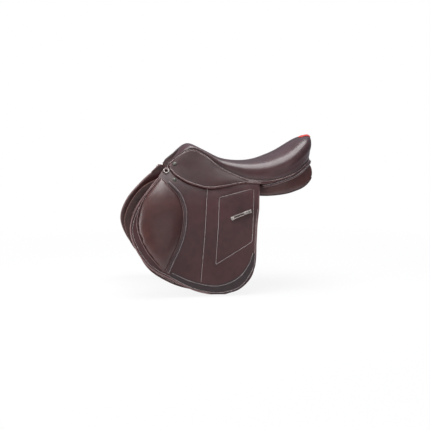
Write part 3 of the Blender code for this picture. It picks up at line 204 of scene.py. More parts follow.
# Studio
SKY_LOW, SKY_HIGH, WHITE = (0.11, 0.11, 0.12, 1), (0.50, 0.50, 0.58, 1), (1, 1, 1, 1)
FLOOR_SIZE, FLOOR_Z, FLOOR_COLOUR = 6.0, -0.2835, (0.88, 0.88, 0.88, 1)
FLOOR_GLOW = (0.35, 1.6, 0.86, 1.0)
LAMPS = (
    ("top", (0.05, -0.03, 1.60), (0, 0.0, 0.05), (1.7, 1.15), 32),
    ("left", (-1.9, -0.80, 0.45), (-0.15, 0, -0.05), (1.1, 1.7), 27),
    ("front", (0.6, -2.4, 0.7), (0, 0, -0.05), (1.6, 1.2), 4),
)
CAMERA_YAW, CAMERA_PITCH, CAMERA_DISTANCE, CAMERA_TARGET = 10, 6.3, 3.0, (-0.076, 0, -0.066)
CAMERA_LENS, CAMERA_SENSOR = 80.5, 36


# Curves and surfaces


def cubic(points, knots, at):
    """Places on a smooth cubic curve through the points, one for each knot value."""
    points, knots = np.asarray(points, float), np.asarray(knots, float)
    at = np.atleast_1d(np.asarray(at, float))
    i = np.clip(np.searchsorted(knots, at, side="right") - 1, 0, len(points) - 2)
    index = np.arange(len(points))
    before, after = np.maximum(index - 1, 0), np.minimum(index + 1, len(points) - 1)
    slopes = (points[after] - points[before]) / (knots[after] - knots[before])[:, None]
    span = (knots[i + 1] - knots[i])[:, None]
    u = (at - knots[i])[:, None] / span
    h1, h2 = 2 * u ** 3 - 3 * u ** 2 + 1, u ** 3 - 2 * u ** 2 + u
    h3, h4 = -2 * u ** 3 + 3 * u ** 2, u ** 3 - u ** 2
    return points[i] * h1 + slopes[i] * span * h2 + points[i + 1] * h3 + slopes[i + 1] * span * h4


def lengths(line):
    """How far along a line each of its points lies."""
    return np.concatenate([[0], np.cumsum(np.linalg.norm(np.diff(line, axis=0), axis=1))])


def through(points, t):
    """Places on a curve through the points, at shares t of its length."""
    points = np.asarray(points, float)
    knots = lengths(points)
    return cubic(points, knots, np.asarray(t) * knots[-1])


def at_station(rows, s):
    return cubic(rows, np.arange(len(rows)), s)


def smooth(t):
    t = np.clip(t, 0, 1)
    return t * t * (3 - 2 * t)


def unit(v):
    return v / np.maximum(np.linalg.norm(v, axis=-1, keepdims=True), 1e-12)


def heading(path, closed=False):
    """Unit directions along a path."""
    if closed:
        return unit(np.roll(path, -1, axis=0) - np.roll(path, 1, axis=0))
    return unit(np.gradient(path, axis=0))


def ruled(a, b, columns, inset=0.0):
    """A grid of points between two lines: a row for each of their points, columns from a to b."""
    u = inset + (1 - 2 * inset) * np.linspace(0, 1, columns)[None, :, None]
    return a[:, None] + (b - a)[:, None] * u


def level_grid(x, z, columns, rows):
    """An upright flat grid between two x and two z, as (x, z)."""
    return np.stack(np.meshgrid(np.linspace(*x, columns), np.linspace(*z, rows)), axis=-1)


def resampled(line, step=0.002):
    """The line with points about a step apart."""
    knots = lengths(line)
    at = np.linspace(0, knots[-1], max(3, int(knots[-1] / step)))
    return np.stack([np.interp(at, knots, line[:, k]) for k in range(line.shape[1])], axis=-1)


def near(points):
    """The points on the other side of the middle: measures are given at +Y, and the near side is -Y."""
    return points * np.array([1.0, -1.0, 1.0])


def face_half(x, z):
    """Half the width over the flaps' outer faces at (x, z)."""
    flare = 1 - np.exp(-(FACE_TOP_Z - z) / FACE_DROP)
    return FACE_TOP_HALF + FACE_FLARE * flare + SHOULDER_SWELL * smooth((SHOULDER_START - x) / SHOULDER_RUN)


def face_normal(x, z):
    step = 0.001
    along_x = (face_half(x + step, z) - face_half(x - step, z)) / (2 * step)
    along_z = (face_half(x, z + step) - face_half(x, z - step)) / (2 * step)
    return unit(np.stack([-along_x, -np.ones_like(along_x), -along_z], axis=-1))


def on_face(xz, depth=0.0):
    """Points of the near side, depth under the flap's outer face."""
    x, z = xz[..., 0], xz[..., 1]
    return np.stack([x, -face_half(x, z), z], axis=-1) - face_normal(x, z) * np.asarray(depth)[..., None]


def under_face(points):
    """How far points lie under the flap's face; less than nothing is outside it."""
    return points[:, 1] + face_half(points[:, 0], points[:, 2])


def face_line(line, lift=0.0):
    """A line on the flap's face, lifted off it, with the face's normals."""
    return on_face(line, -np.asarray(lift)), face_normal(line[:, 0], line[:, 1])


def aside(line, distance):
    """A flat line moved sideways; a positive distance is to its left as it runs."""
    along = heading(line)
    return line + np.stack([-along[:, 1], along[:, 0]], axis=-1) * distance


def distance_to(points, line):
    """Distance of flat points from a flat line."""
    best = np.full(points.shape[:-1], 1.0)
    for a, b in zip(line, line[1:]):
        ab = b - a
        t = np.clip(((points - a) @ ab) / max(ab @ ab, 1e-12), 0, 1)
        best = np.minimum(best, np.linalg.norm(points - (a + t[..., None] * ab), axis=-1))
    return best


def rounded_outline(corners, radius, samples=8):
    """A closed outline with round corners."""
    corners = np.array(corners)
    made = []
    for i, corner in enumerate(corners):
        a = corner + unit(corners[i - 1] - corner) * radius
        b = corner + unit(corners[(i + 1) % len(corners)] - corner) * radius
        for t in np.linspace(0, 1, samples):
            made.append(a * (1 - t) ** 2 + corner * 2 * t * (1 - t) + b * t * t)
    return np.array(made + made[:1])


def seat_grid(s, r):
    """The seat's upper surface on the near side: rows at stations s, r from the spine to the seam."""
    s, r = np.atleast_1d(s), np.atleast_1d(r)
    seam = at_station([row[0] for row in SEAT_STATIONS], s)
    start_x = np.minimum(at_station([(row[1],) for row in SEAT_STATIONS], s)[:, 0], SPINE_END_X)
    spine_z = cubic([(p[1],) for p in SEAT_SPINE], [p[0] for p in SEAT_SPINE], start_x)[:, 0]
    share = at_station([row[2] for row in SEAT_STATIONS], s)
    out_up = at_station([row[3] for row in SEAT_STATIONS], s)
    start = np.stack([start_x, 0 * start_x, spine_z], axis=-1)
    reach = np.stack([seam[:, 0] - start_x, seam[:, 1], 0 * start_x], axis=-1)
    inner = start + np.stack([reach[:, 0] * share[:, 0], reach[:, 1] * share[:, 1], share[:, 2]], axis=-1)
    outer = seam + unit(reach) * out_up[:, :1] + np.stack([0 * start_x, 0 * start_x, out_up[:, 1]], axis=-1)
    a, b, c, d = (p[:, None, :] for p in (start, inner, outer, seam))
    r = r[None, :, None]
    q = 1 - r
    return near(a * q ** 3 + b * 3 * q * q * r + c * 3 * q * r * r + d * r ** 3)


def skirt_lines(s):
    """Seam, fold and lower edge of the skirt at stations s."""
    front = [(x, float(face_half(x, z)) + SKIRT_PROUD * 1.15, z) for x, z in SKIRT_EDGE]
    low = near(at_station(front + list(STRIP_EDGE), s))
    seam = near(at_station([row[0] for row in SEAT_STATIONS], s))
    a, b = on_face(np.array(SKIRT_FOLD), -SKIRT_PROUD)
    share = np.clip((low[:, :1] - a[0]) / (b[0] - a[0]), 0, 1)
    fold = np.where((s >= SKIRT_REAR)[:, None], low, a + (b - a) * share)
    return seam + unit(fold - seam) * SEAM_GAP, fold, low


def skirt_grid(s, count):
    """The skirt's outer face from the seat's seam over the fold to its lower edge."""
    rows = []
    share = np.linspace(0, 1, count)
    t = share[:, None]
    for station, seam, fold, low in zip(s, *skirt_lines(s)):
        upper, lower = np.linalg.norm(fold - seam), np.linalg.norm(low - fold)
        whole = upper + lower
        round_share = 0.0
        if lower < 0.0005:
            place = seam + (fold - seam) * t
        else:
            place = cubic([seam, fold, low], [0.0, upper, whole], share * whole)
            bend = np.clip(upper / whole, 0.25, 0.75)
            pull = (fold - seam * (1 - bend) ** 2 - low * bend ** 2) / (2 * bend * (1 - bend))
            arch = seam * (1 - t) ** 2 + pull * 2 * t * (1 - t) + low * t * t
            round_share = float(smooth((lower - 0.004) / 0.014))
            place = place + (arch - place) * round_share
        over = np.minimum(share * whole / upper, 1.0)
        bulge = SKIRT_BULGE * (1 - 0.8 * round_share) * np.sin(np.pi * over) ** 2
        bulge *= smooth((SKIRT_REAR - station) / 2) * smooth(station + 0.3)
        rows.append(place + np.array([0, -0.8, 0.6]) * bulge[:, None])
    return np.array(rows)


# Meshes


def grid_normals(grid, toward):
    """Unit normals of a grid of points, on the side that faces toward."""
    normals = np.cross(np.gradient(grid, axis=0), np.gradient(grid, axis=1))
    weak = np.linalg.norm(normals, axis=-1) < 1e-12
    normals = unit(normals)
    mean = normals[~weak].mean(axis=0)
    normals[weak] = mean / np.linalg.norm(mean)
    return -normals if np.dot(mean, toward) < 0 else normals


def mesh_object(name, points, faces, material):
    mesh = bpy.data.meshes.new(name)
    mesh.from_pydata([tuple(p) for p in points], [], faces)
    mesh.materials.append(material)
    mesh.shade_smooth()
    obj = bpy.data.objects.new(name, mesh)
    bpy.context.scene.collection.objects.link(obj)
    return obj


def settle(obj, join=True):
    """Joins points that coincide and turns the faces outward."""
    shape = bmesh.new()
    shape.from_mesh(obj.data)
    if join:
        bmesh.ops.remove_doubles(shape, verts=shape.verts, dist=1e-6)
        bmesh.ops.dissolve_degenerate(shape, edges=shape.edges, dist=1e-7)
    bmesh.ops.recalc_face_normals(shape, faces=shape.faces)
    shape.to_mesh(obj.data)
    shape.free()
    obj.data.shade_smooth()
    return obj


def evaluated(obj):
    """A mesh of the object with its modifiers."""
    return bpy.data.meshes.new_from_object(obj.evaluated_get(bpy.context.evaluated_depsgraph_get()))


def boundary(rows, columns):
    """Grid indices round the rim of a grid, in order."""
    loop = [(0, c) for c in range(columns)]
    loop += [(r, columns - 1) for r in range(1, rows)]
    loop += [(rows - 1, c) for c in range(columns - 2, -1, -1)]
    return loop + [(r, 0) for r in range(rows - 2, 0, -1)]


def grid_faces(rows, columns, start=0, flip=False):
    faces = []
    for r in range(rows - 1):
        for c in range(columns - 1):
            a = start + r * columns + c
            face = (a, a + 1, a + columns + 1, a + columns)
            faces.append(face[::-1] if flip else face)
    return faces


def ring_faces(rings, sides, closed=False):
    """Faces between rings of points that follow each other, with an end at both ends of an open row."""
    faces = []
    for r in range(rings if closed else rings - 1):
        n = (r + 1) % rings
        for c in range(sides):
            d = (c + 1) % sides
            faces.append((r * sides + c, r * sides + d, n * sides + d, n * sides + c))
    if not closed:
        faces.append(tuple(range(sides))[::-1])
        faces.append(tuple((rings - 1) * sides + c for c in range(sides)))
    return faces


def circle(sides):
    angles = np.arange(sides) * 2 * np.pi / sides
    return np.cos(angles)[:, None], np.sin(angles)[:, None]


def leather(name, grid, thickness, material, toward=(0, -1, 0), groove_shade=None, wear=0.0018, half=None):
    """A closed sheet with rolled edges. Its outer face is the grid, inset so that the rim keeps to it.

    A half grid meets the plane of symmetry in its first column, and with "column and row" in its last
    row too. It gets no rim there, and is mirrored and joined.
    """
    rows, columns = grid.shape[:2]
    size = rows * columns
    normals = grid_normals(grid, np.array(toward, float))
    loop = boundary(rows, columns)
    if half == "column":
        loop = loop[: 2 * columns + rows - 2]
    elif half == "column and row":
        loop = loop[: columns + rows - 1]
    count = len(loop)
    r, c = np.array(loop).T
    rim, rim_n = grid[r, c], normals[r, c]
    out = unit(np.cross(heading(rim, closed=not half), rim_n))
    if (out * (rim - grid.reshape(-1, 3).mean(axis=0))).sum() < 0:
        out = -out
    inside = grid[np.clip(r, 1, rows - 2), np.clip(c, 1, columns - 2)]
    depth = thickness / 2
    radius = np.clip(0.7 * ((rim - inside) * out).sum(axis=1), 0.0, depth)[:, None]
    top, bottom = grid.copy(), grid - normals * thickness
    top[r, c] = rim - out * radius
    bottom[r, c] = rim - out * radius - rim_n * thickness
    points = [top.reshape(-1, 3), bottom.reshape(-1, 3)]
    faces = grid_faces(rows, columns) + grid_faces(rows, columns, size, flip=True)
    rings = [list(r * columns + c)]
    for k in (1, 2, 3):
        angle = math.pi * k / 4
        ring = rim - out * radius - rim_n * depth
        points.append(ring + out * radius * math.sin(angle) + rim_n * depth * math.cos(angle))
        rings.append([2 * size + (k - 1) * count + j for j in range(count)])
    rings.append([i + size for i in rings[0]])
    for a, b in zip(rings, rings[1:]):
        for j in range(count - 1 if half else count):
            k = (j + 1) % count
            faces.append((a[k], a[j], b[j], b[k]))
    points = np.concatenate(points)
    one, two = points[faces[0][1]] - points[faces[0][0]], points[faces[0][3]] - points[faces[0][0]]
    if np.dot(np.cross(one, two), normals[0, 0]) < 0:
        faces = [f[::-1] for f in faces]

    gap = np.min([np.linalg.norm(grid.reshape(-1, 3) - p, axis=1) for p in rim[::2]], axis=0)
    edge = np.concatenate([np.tile(np.exp(-gap / wear), 2), np.ones(3 * count)])
    # Painted shade: the seams' grooves, which the colour darkens through the "seam" attribute
    groove = np.zeros(len(points))
    if groove_shade is not None:
        groove[:size] = groove_shade.reshape(-1)
    if half:
        on_plane = [i * columns for i in range(rows)]
        if half == "column and row":
            on_plane += [(rows - 1) * columns + i for i in range(columns)]
        on_plane += [i + size for i in on_plane]
        for ring in rings[1:-1]:
            on_plane += [ring[0], ring[-1]]
        points[on_plane, 1] = 0.0
        faces += [tuple(i + len(points) for i in f[::-1]) for f in faces]
        points = np.concatenate([points, near(points)])
        edge, groove = np.tile(edge, 2), np.tile(groove, 2)
    obj = mesh_object(name, points, faces, material)
    for key, values in (("edge", edge), ("seam", groove)):
        obj.data.attributes.new(key, "FLOAT", "POINT").data.foreach_set("value", values.astype(np.float32))
    return settle(obj) if half else obj


def cushion(name, crown, base, material):
    """A closed pad between a crowned grid and the grid that it lies on."""
    rows, columns = crown.shape[:2]
    size = rows * columns
    faces = grid_faces(rows, columns) + grid_faces(rows, columns, size, flip=True)
    loop = [r * columns + c for r, c in boundary(rows, columns)]
    for a, b in zip(loop, loop[1:] + loop[:1]):
        faces.append((b, a, a + size, b + size))
    points = np.concatenate([crown.reshape(-1, 3), base.reshape(-1, 3)])
    return settle(mesh_object(name, points, faces, material))


def inflated(obj, cap, held):
    """Blows a pad up as sewn leather round its filling.

    What held says stays put, and nothing moves past cap.
    """
    voxels = obj.modifiers.new("even faces", "REMESH")
    voxels.mode, voxels.voxel_size = "VOXEL", CLOTH_VOXEL
    even = evaluated(obj)
    obj.modifiers.remove(voxels)
    obj.data = even
    start = np.array([v.co for v in even.vertices])
    group = obj.vertex_groups.new(name="held")
    group.add([int(i) for i in np.nonzero(held(start))[0]], 1.0, "REPLACE")
    cloth = obj.modifiers.new("filling", "CLOTH")
    settings = cloth.settings
    settings.quality, settings.mass = 5, 0.3
    settings.use_pressure, settings.uniform_pressure_force = True, CLOTH_PRESSURE
    settings.vertex_group_mass, settings.pin_stiffness = "held", 1.0
    settings.tension_stiffness = settings.compression_stiffness = 15.0
    settings.shear_stiffness, settings.bending_stiffness = 5.0, 0.5
    settings.effector_weights.gravity = 0.0
    for step in range(1, CLOTH_STEPS + 1):
        bpy.context.scene.frame_set(step)
    blown = evaluated(obj)
    bpy.context.scene.frame_set(1)
    obj.modifiers.remove(cloth)
    obj.vertex_groups.remove(group)
    move = np.array([v.co for v in blown.vertices]) - start
    move *= np.minimum(1.0, cap / np.maximum(np.linalg.norm(move, axis=1, keepdims=True), 1e-9))
    move[~np.isfinite(move).all(axis=1)] = 0.0
    even.vertices.foreach_set("co", (start + move).ravel().astype(np.float32))
    rounded = obj.modifiers.new("rounded", "SUBSURF")
    rounded.levels = rounded.render_levels = 1
    whole = evaluated(obj)
    obj.modifiers.remove(rounded)
    obj.data = whole
    whole.shade_smooth()


def tube(name, path, normals, radius, material, sides=10, closed=False):
    """A round cord along a path; the normals only say how its sides are turned."""
    along = heading(path, closed)
    up = unit(normals - along * (normals * along).sum(axis=1, keepdims=True))
    side = np.cross(along, up)
    c, s = circle(sides)
    radius = np.broadcast_to(np.asarray(radius, float), len(path))
    rings = path[:, None] + radius[:, None, None] * (up[:, None] * c + side[:, None] * s)
    return settle(mesh_object(name, rings.reshape(-1, 3), ring_faces(len(path), sides, closed), material))


def rounded_ends(count, radius, taper=4):
    """A radius for each point of a path, tapered to a round end at both ends."""
    made = np.full(count, radius)
    for i in range(taper):
        made[i] = made[-1 - i] = radius * math.sin(math.pi / 2 * (i + 0.35) / taper)
    return made


def cord(name, line, radius, material):
    """A tube with round ends along a line of (points, normals)."""
    path, normals = line
    return tube(name, path, normals, rounded_ends(len(path), radius), material)


def turned(name, origin, axis, across, profile, material, sides=32):
    """A round piece turned about an axis: the profile is (radius, height) from its base to its top."""
    across = unit(across - axis * np.dot(across, axis))
    c, s = circle(sides)
    spokes = c * across + s * np.cross(axis, across)
    rings = [origin + axis * height + max(radius, 1e-5) * spokes for radius, height in profile]
    return settle(mesh_object(name, np.concatenate(rings), ring_faces(len(profile), sides), material))


def stitch_rows(name, lines, pitch=0.0042, length=0.0034, radius=0.00044):
    """A row of stitches along each line of (points, normals)."""
    points, faces = [], []
    thread = ring_faces(len(THREAD_RINGS), THREAD_SIDES)
    c, s = circle(THREAD_SIDES)
    for path, normals in lines:
        knots = lengths(path)
        places = np.arange(pitch / 2, knots[-1], pitch)
        at = np.stack([np.interp(places, knots, path[:, k]) for k in range(3)], axis=-1)
        up = unit(np.stack([np.interp(places, knots, normals[:, k]) for k in range(3)], axis=-1))
        along = heading(at)
        for p, n, a, b in zip(at, up, along, np.cross(along, up)):
            first = len(points) * THREAD_SIDES
            faces += [tuple(first + i for i in face) for face in thread]
            for where, width, rise in THREAD_RINGS:
                centre = p + a * length * where + n * radius * (rise + THREAD_SINK)
                points.append(centre + radius * width * (c * n * THREAD_FLAT + s * b))
    return settle(mesh_object(name, np.concatenate(points), faces, THREAD), join=False)


# Materials


def srgb(*levels):
    """A linear colour from its red, green and blue of 0 to 255."""
    shares = [level / 255 for level in levels]
    return tuple(((v + 0.055) / 1.055) ** 2.4 if v > 0.04045 else v / 12.92 for v in shares) + (1.0,)


def darker(colour, share):
    return tuple(v * share for v in colour[:3]) + (1.0,)


class Nodes:
    """The node tree of a material or world, with short ways to add and join nodes."""

    def __init__(self, owner):
        owner.use_nodes = True
        self.owner, self.tree = owner, owner.node_tree
        self.places = self.add("ShaderNodeTexCoord").outputs

    def add(self, kind, inputs=(), **values):
        node = self.tree.nodes.new(kind)
        for key, value in values.items():
            setattr(node, key, value)
        for key, value in inputs:
            node.inputs[key].default_value = value
        return node

    def join(self, output, socket):
        self.tree.links.new(output, socket)

    def set(self, socket, value):
        """Joins an output to the socket, or gives it a number or colour of its own."""
        if isinstance(value, (int, float, tuple)):
            socket.default_value = value
        else:
            self.join(value, socket)

    def noise(self, scale, detail=3.0, rough=0.55):
        node = self.add("ShaderNodeTexNoise", (("Scale", scale), ("Detail", detail), ("Roughness", rough)))
        self.join(self.places["Object"], node.inputs["Vector"])
        return node.outputs["Fac"]

    def cells(self, scale):
        node = self.add("ShaderNodeTexVoronoi", (("Scale", scale),), feature="F1")
        self.join(self.places["Object"], node.inputs["Vector"])
        return node.outputs["Distance"]

    def wave(self, direction, scale, distortion=0.0):
        node = self.add("ShaderNodeTexWave", (("Scale", scale), ("Distortion", distortion)),
                        wave_type="BANDS", bands_direction=direction)
        self.join(self.places["Object"], node.inputs["Vector"])
        return node.outputs["Fac"]

    def attribute(self, name):
        return self.add("ShaderNodeAttribute", attribute_name=name).outputs["Fac"]

    def ranged(self, value, low, high, to_low=0.0, to_high=1.0):
        node = self.add("ShaderNodeMapRange", (("From Min", low), ("From Max", high), ("To Min", to_low),
                                               ("To Max", to_high)))
        self.join(value, node.inputs["Value"])
        return node.outputs["Result"]

    def math(self, operation, a, b):
        node = self.add("ShaderNodeMath", operation=operation)
        self.set(node.inputs[0], a)
        self.set(node.inputs[1], b)
        return node.outputs[0]

    def mix(self, share, a, b):
        node = self.add("ShaderNodeMix", data_type="RGBA")
        self.join(share, node.inputs["Factor"])
        self.set(node.inputs[6], a)
        self.set(node.inputs[7], b)
        return node.outputs[2]

    def mix_shaders(self, share, a, b, output):
        node = self.add("ShaderNodeMixShader")
        for socket, value in zip(node.inputs, (share, a, b)):
            self.join(value, socket)
        self.join(node.outputs["Shader"], self.tree.nodes[output].inputs["Surface"])

    def bump(self, height, distance, strength, after=None):
        node = self.add("ShaderNodeBump", (("Distance", distance), ("Strength", strength)))
        self.join(height, node.inputs["Height"])
        if after is not None:
            self.join(after, node.inputs["Normal"])
        return node.outputs["Normal"]

    def finish(self, colour, roughness, normal, **constants):
        shader = self.tree.nodes["Principled BSDF"].inputs
        self.join(colour, shader["Base Color"])
        self.set(shader["Roughness"], roughness)
        self.join(normal, shader["Normal"])
        for key, value in constants.items():
            shader[key.replace("_", " ")].default_value = value
        return self.owner


def material_nodes(name):
    return Nodes(bpy.data.materials.new(name))


def leather_material(name, dark, light, worn, rough=(0.30, 0.44), grain=1500.0, depth=0.00010, coat=0.25,
                     shine=0.5):
    n = material_nodes(name)
    cloud = n.ranged(n.noise(7.0, 4.0), 0.35, 0.68)
    mottle = n.ranged(n.noise(55.0), 0.30, 0.75)
    tone = n.math("ADD", n.math("MULTIPLY", cloud, 0.65), n.math("MULTIPLY", mottle, 0.35))
    colour = n.mix(tone, dark, light)
    rubbed = n.ranged(n.noise(90.0, 2.0), 0.25, 0.7, 0.55, 1.0)
    colour = n.mix(n.math("MULTIPLY", n.attribute("edge"), rubbed), colour, worn)
    # Painted shade: darker colour along the seams' grooves, where the "seam" attribute is set
    colour = n.mix(n.math("MULTIPLY", n.attribute("seam"), 0.75), colour, darker(dark, 0.35))
    fine = n.bump(n.cells(grain), depth, 0.45)
    normal = n.bump(n.noise(260.0, 4.0, 0.6), depth * 2.5, 0.25, fine)
    roughness = n.ranged(n.noise(38.0), 0.30, 0.72, *rough)
    return n.finish(colour, roughness, normal, Coat_Weight=coat, Coat_Roughness=0.22,
                    Specular_IOR_Level=shine)


def grained_material(name, dark, light):
    n = material_nodes(name)
    pebble = n.cells(620.0)
    colour = n.mix(n.ranged(pebble, 0.05, 0.75), dark, light)
    colour = n.mix(n.math("MULTIPLY", n.attribute("edge"), 0.5), colour, light)
    roughness = n.ranged(n.noise(60.0), 0.3, 0.7, 0.55, 0.72)
    return n.finish(colour, roughness, n.bump(pebble, 0.0005, 0.8), Specular_IOR_Level=0.35)


def thread_material(name, dark, light):
    n = material_nodes(name)
    colour = n.mix(n.ranged(n.noise(70.0), 0.3, 0.7), dark, light)
    return n.finish(colour, 0.62, n.bump(n.wave("DIAGONAL", 420.0, 1.5), 0.0003, 0.6), Sheen_Weight=0.2)


def metal_material(name, colour, rough=(0.24, 0.42)):
    n = material_nodes(name)
    stretch = n.add("ShaderNodeMapping", (("Scale", (60.0, 700.0, 700.0)),))
    n.join(n.places["Object"], stretch.inputs["Vector"])
    brushed = n.add("ShaderNodeTexNoise")
    n.join(stretch.outputs["Vector"], brushed.inputs["Vector"])
    marks = brushed.outputs["Fac"]
    tone = n.mix(n.ranged(n.noise(120.0), 0.3, 0.7), colour, darker(colour, 0.72))
    return n.finish(tone, n.ranged(marks, 0.3, 0.7, *rough), n.bump(marks, 0.00005, 0.4), Metallic=1.0)


def webbing_material(name, dark, light):
    n = material_nodes(name)
    weave = n.math("MULTIPLY", n.wave("Z", 330.0), n.wave("X", 330.0))
    return n.finish(n.mix(weave, dark, light), 0.85, n.bump(weave, 0.0004, 0.8), Sheen_Weight=0.3)


def plastic_material(name, dark, light):
    n = material_nodes(name)
    fleck = n.cells(140.0)
    roughness = n.ranged(n.noise(80.0), 0.3, 0.7, 0.42, 0.58)
    return n.finish(n.mix(n.ranged(fleck, 0.1, 0.6), dark, light), roughness, n.bump(fleck, 0.0004, 0.3))


def foam_material(name, dark, light):
    n = material_nodes(name)
    pores = n.cells(420.0)
    return n.finish(n.mix(n.ranged(pores, 0.0, 0.5), dark, light), 0.92, n.bump(pores, 0.0008, 0.7))


BROWN = leather_material("brown_leather", srgb(50, 24, 24), srgb(76, 41, 40), srgb(112, 82, 79),
                         rough=(0.32, 0.46), coat=0.12)
# The skirt: the flap's leather made rougher and less shiny, and darker as painted shade on its upward face
# under the top lamp
SKIRT_BROWN_SHADED = leather_material("skirt_leather", srgb(44, 21, 21), srgb(67, 36, 35), srgb(112, 82, 79),
                               rough=(0.42, 0.55), coat=0.0, shine=0.32)
SEAT_BROWN = leather_material("seat_leather", srgb(54, 30, 31), srgb(78, 48, 49), srgb(96, 68, 66),
                              rough=(0.34, 0.44), grain=1900.0, depth=0.00006, coat=0.35)
PAD_BROWN = leather_material("pad_leather", srgb(60, 30, 26), srgb(82, 46, 40), srgb(120, 88, 82),
                             rough=(0.33, 0.42), coat=0.35)
WELT = leather_material("welt_leather", srgb(90, 62, 60), srgb(134, 104, 102), srgb(156, 128, 125),
                        grain=2200.0)
DARK_WELT = leather_material("dark_welt_leather", srgb(42, 25, 26), srgb(64, 43, 43), srgb(104, 86, 86))
INNER = leather_material("lining_leather", srgb(44, 22, 19), srgb(72, 42, 36), srgb(96, 66, 58),
                         rough=(0.45, 0.60), coat=0.03)
GRAINED = grained_material("grained_leather", srgb(34, 26, 27), srgb(64, 53, 53))
RED = leather_material("red_leather", srgb(196, 44, 34), srgb(228, 66, 50), srgb(224, 96, 80), coat=0.2)
THREAD = thread_material("thread", srgb(204, 188, 184), srgb(238, 226, 222))
STEEL = metal_material("steel", srgb(190, 188, 184))
PEWTER = metal_material("pewter", srgb(188, 182, 174), rough=(0.26, 0.42))
NAIL_METAL = metal_material("nail_metal", srgb(118, 118, 110), rough=(0.38, 0.55))
WEBBING = webbing_material("webbing", srgb(140, 130, 110), srgb(206, 198, 178))
PLASTIC = plastic_material("tree_plastic", srgb(28, 28, 30), srgb(58, 57, 58))
FOAM = foam_material("foam", srgb(190, 182, 160), srgb(230, 226, 210))

SLOT_MATERIALS = {"leather": BROWN, "grain_leather": GRAINED, "red_leather": RED, "foam": FOAM,
                  "webbing": WEBBING, "tree_plastic": PLASTIC, "steel": STEEL}
NODE_SLOTS = {row["node"]: row["material_slot"] for row in frame["record"]["subparts"]}
for node_name, node in frame["nodes"].items():
    node.data.materials.clear()
    node.data.materials.append(SLOT_MATERIALS[NODE_SLOTS[node_name]])


# Placing the pieces on the frame's bodies


def mirrored(obj):
    mesh = obj.data.copy()
    mesh.transform(Matrix.Scale(-1, 4, (0, 1, 0)))
    mesh.flip_normals()
    made = bpy.data.objects.new(obj.name.replace("_near", "_off"), mesh)
    mesh.name = made.name
    bpy.context.scene.collection.objects.link(made)
    return made


def fit(obj, body="saddle", nodes=(), fold=None):
    """Puts a near-side piece on its body, and its mirror image on the off side's; given a fold, both are only
    baked in place, on no body, and the fold is not used further.
    """
    for piece, side, sign in ((obj, "near", 1), (mirrored(obj), "off", -1)):
        own = body if body == "saddle" else f"{body}_{side}"
        if fold is None:
            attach(piece, own)
        else:
            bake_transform(piece)
        if nodes:
            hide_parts(*[f"{n}_{side}" for n in nodes])


def fit_middle(obj, nodes=()):
    """Puts a piece that crosses the middle on the saddle's body."""
    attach(obj, "saddle")
    if nodes:
        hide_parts(*nodes)


def fold_ends(line, proud, reach):
    """Start and end of a bend: square to a fold line, reach above it and reach below it."""
    a, b = on_face(np.array(line), -proud)
    middle = (a + b) / 2
    down = unit(np.cross(unit(b - a), face_normal(middle[0], middle[2])))
    down *= -np.sign(down[2])
    return middle - down * reach, middle + down * reach


FLAP_BEND = fold_ends(FLAP_FOLD, 0.001, 0.009)
SKIRT_BEND = fold_ends(SKIRT_FOLD, SKIRT_PROUD + 0.001, 0.007)


# Seat and skirt


def relaxed(grid, share, rounds):
    """A near-half grid smoothed inside its rim; share gives how much, row by row."""
    grid = grid.copy()
    weight = np.asarray(share)[1:-1, None, None]
    for _ in range(rounds):
        whole = np.concatenate([near(grid[:, 1:2]), grid], axis=1)
        mean = (whole[:-2, 1:-1] + whole[2:, 1:-1] + whole[1:-1, :-2] + whole[1:-1, 2:]) / 4
        grid[1:-1, :-1] += (mean - grid[1:-1, :-1]) * weight
    return grid


def make_seat():
    s, r = np.linspace(0, SEAT_LAST, 190), np.linspace(0, 1, 44)
    half = relaxed(seat_grid(s, r), smooth((4.5 - s) / 1.5) * 0.9, 60)
    normals = grid_normals(half, np.array([0, -0.3, 1.0]))
    groove = np.exp(-((r - SEAT_TUCK_AT) / SEAT_TUCK_WIDTH) ** 2)
    tuck = SEAT_TUCK * smooth((s - SEAT_TUCK_FROM) / 1.5)[:, None] * groove[None, :]
    half = half - normals * tuck[..., None]
    cover = leather("seat", half, COVER_THICK, SEAT_BROWN, toward=(0, -0.3, 1), half="column and row")
    fit_middle(cover, nodes=["seat_cover"])


def outward(path, down):
    """Unit normals of a line on the near side, square to it and to the way down the leather."""
    out = unit(np.cross(heading(path), down))
    return out * np.where(out[:, 1:2] > 0, -1, 1)


def seam_path(s, lift=0.0, drop=0.0):
    """The seam between seat and skirt, lifted off it and moved down the skirt."""
    rows = skirt_grid(s, 60)
    seam, down = rows[:, 0], unit(rows[:, 3] - rows[:, 0])
    out = outward(seam, down)
    return seam + down * drop + out * lift, out


def make_seams():
    welt = seam_path(np.linspace(0.05, STRIP_LAST, 260), 0.0006, -SEAM_GAP / 2)
    fit(cord("seat_welt_near", welt, SEAT_WELT, DARK_WELT))
    s = np.linspace(0.10, 11.9, 300)
    fit(stitch_rows("seat_seam_stitches_near", [seam_path(s, drop=0.0042)]))
    path, out = seam_path(s, drop=0.0088)
    fit(stitch_rows("skirt_top_stitches_near", [(path[:168], out[:168])]))


def make_skirt():
    grid = skirt_grid(np.linspace(0, STRIP_LAST, 190), 34)
    skirt = leather("skirt_leather_near", grid, SKIRT_THICK, SKIRT_BROWN_SHADED, toward=(0, -1, 0.3))
    fit(skirt, "skirt", ["skirt_top", "skirt"], fold=SKIRT_BEND)
    rows = skirt_grid(np.linspace(0.06, SKIRT_REAR + 0.3, 150), 60)
    path = []
    for row in rows:
        knots = lengths(row)
        at = max(knots[-1] - SKIRT_STITCH_INSET, knots[-1] * 0.5)
        path.append([np.interp(at, knots, row[:, k]) for k in range(3)])
    path = np.array(path)
    line = (path, outward(path, unit(rows[:, -1] - rows[:, -6])))
    fit(stitch_rows("skirt_stitches_near", [line]), "skirt", fold=SKIRT_BEND)


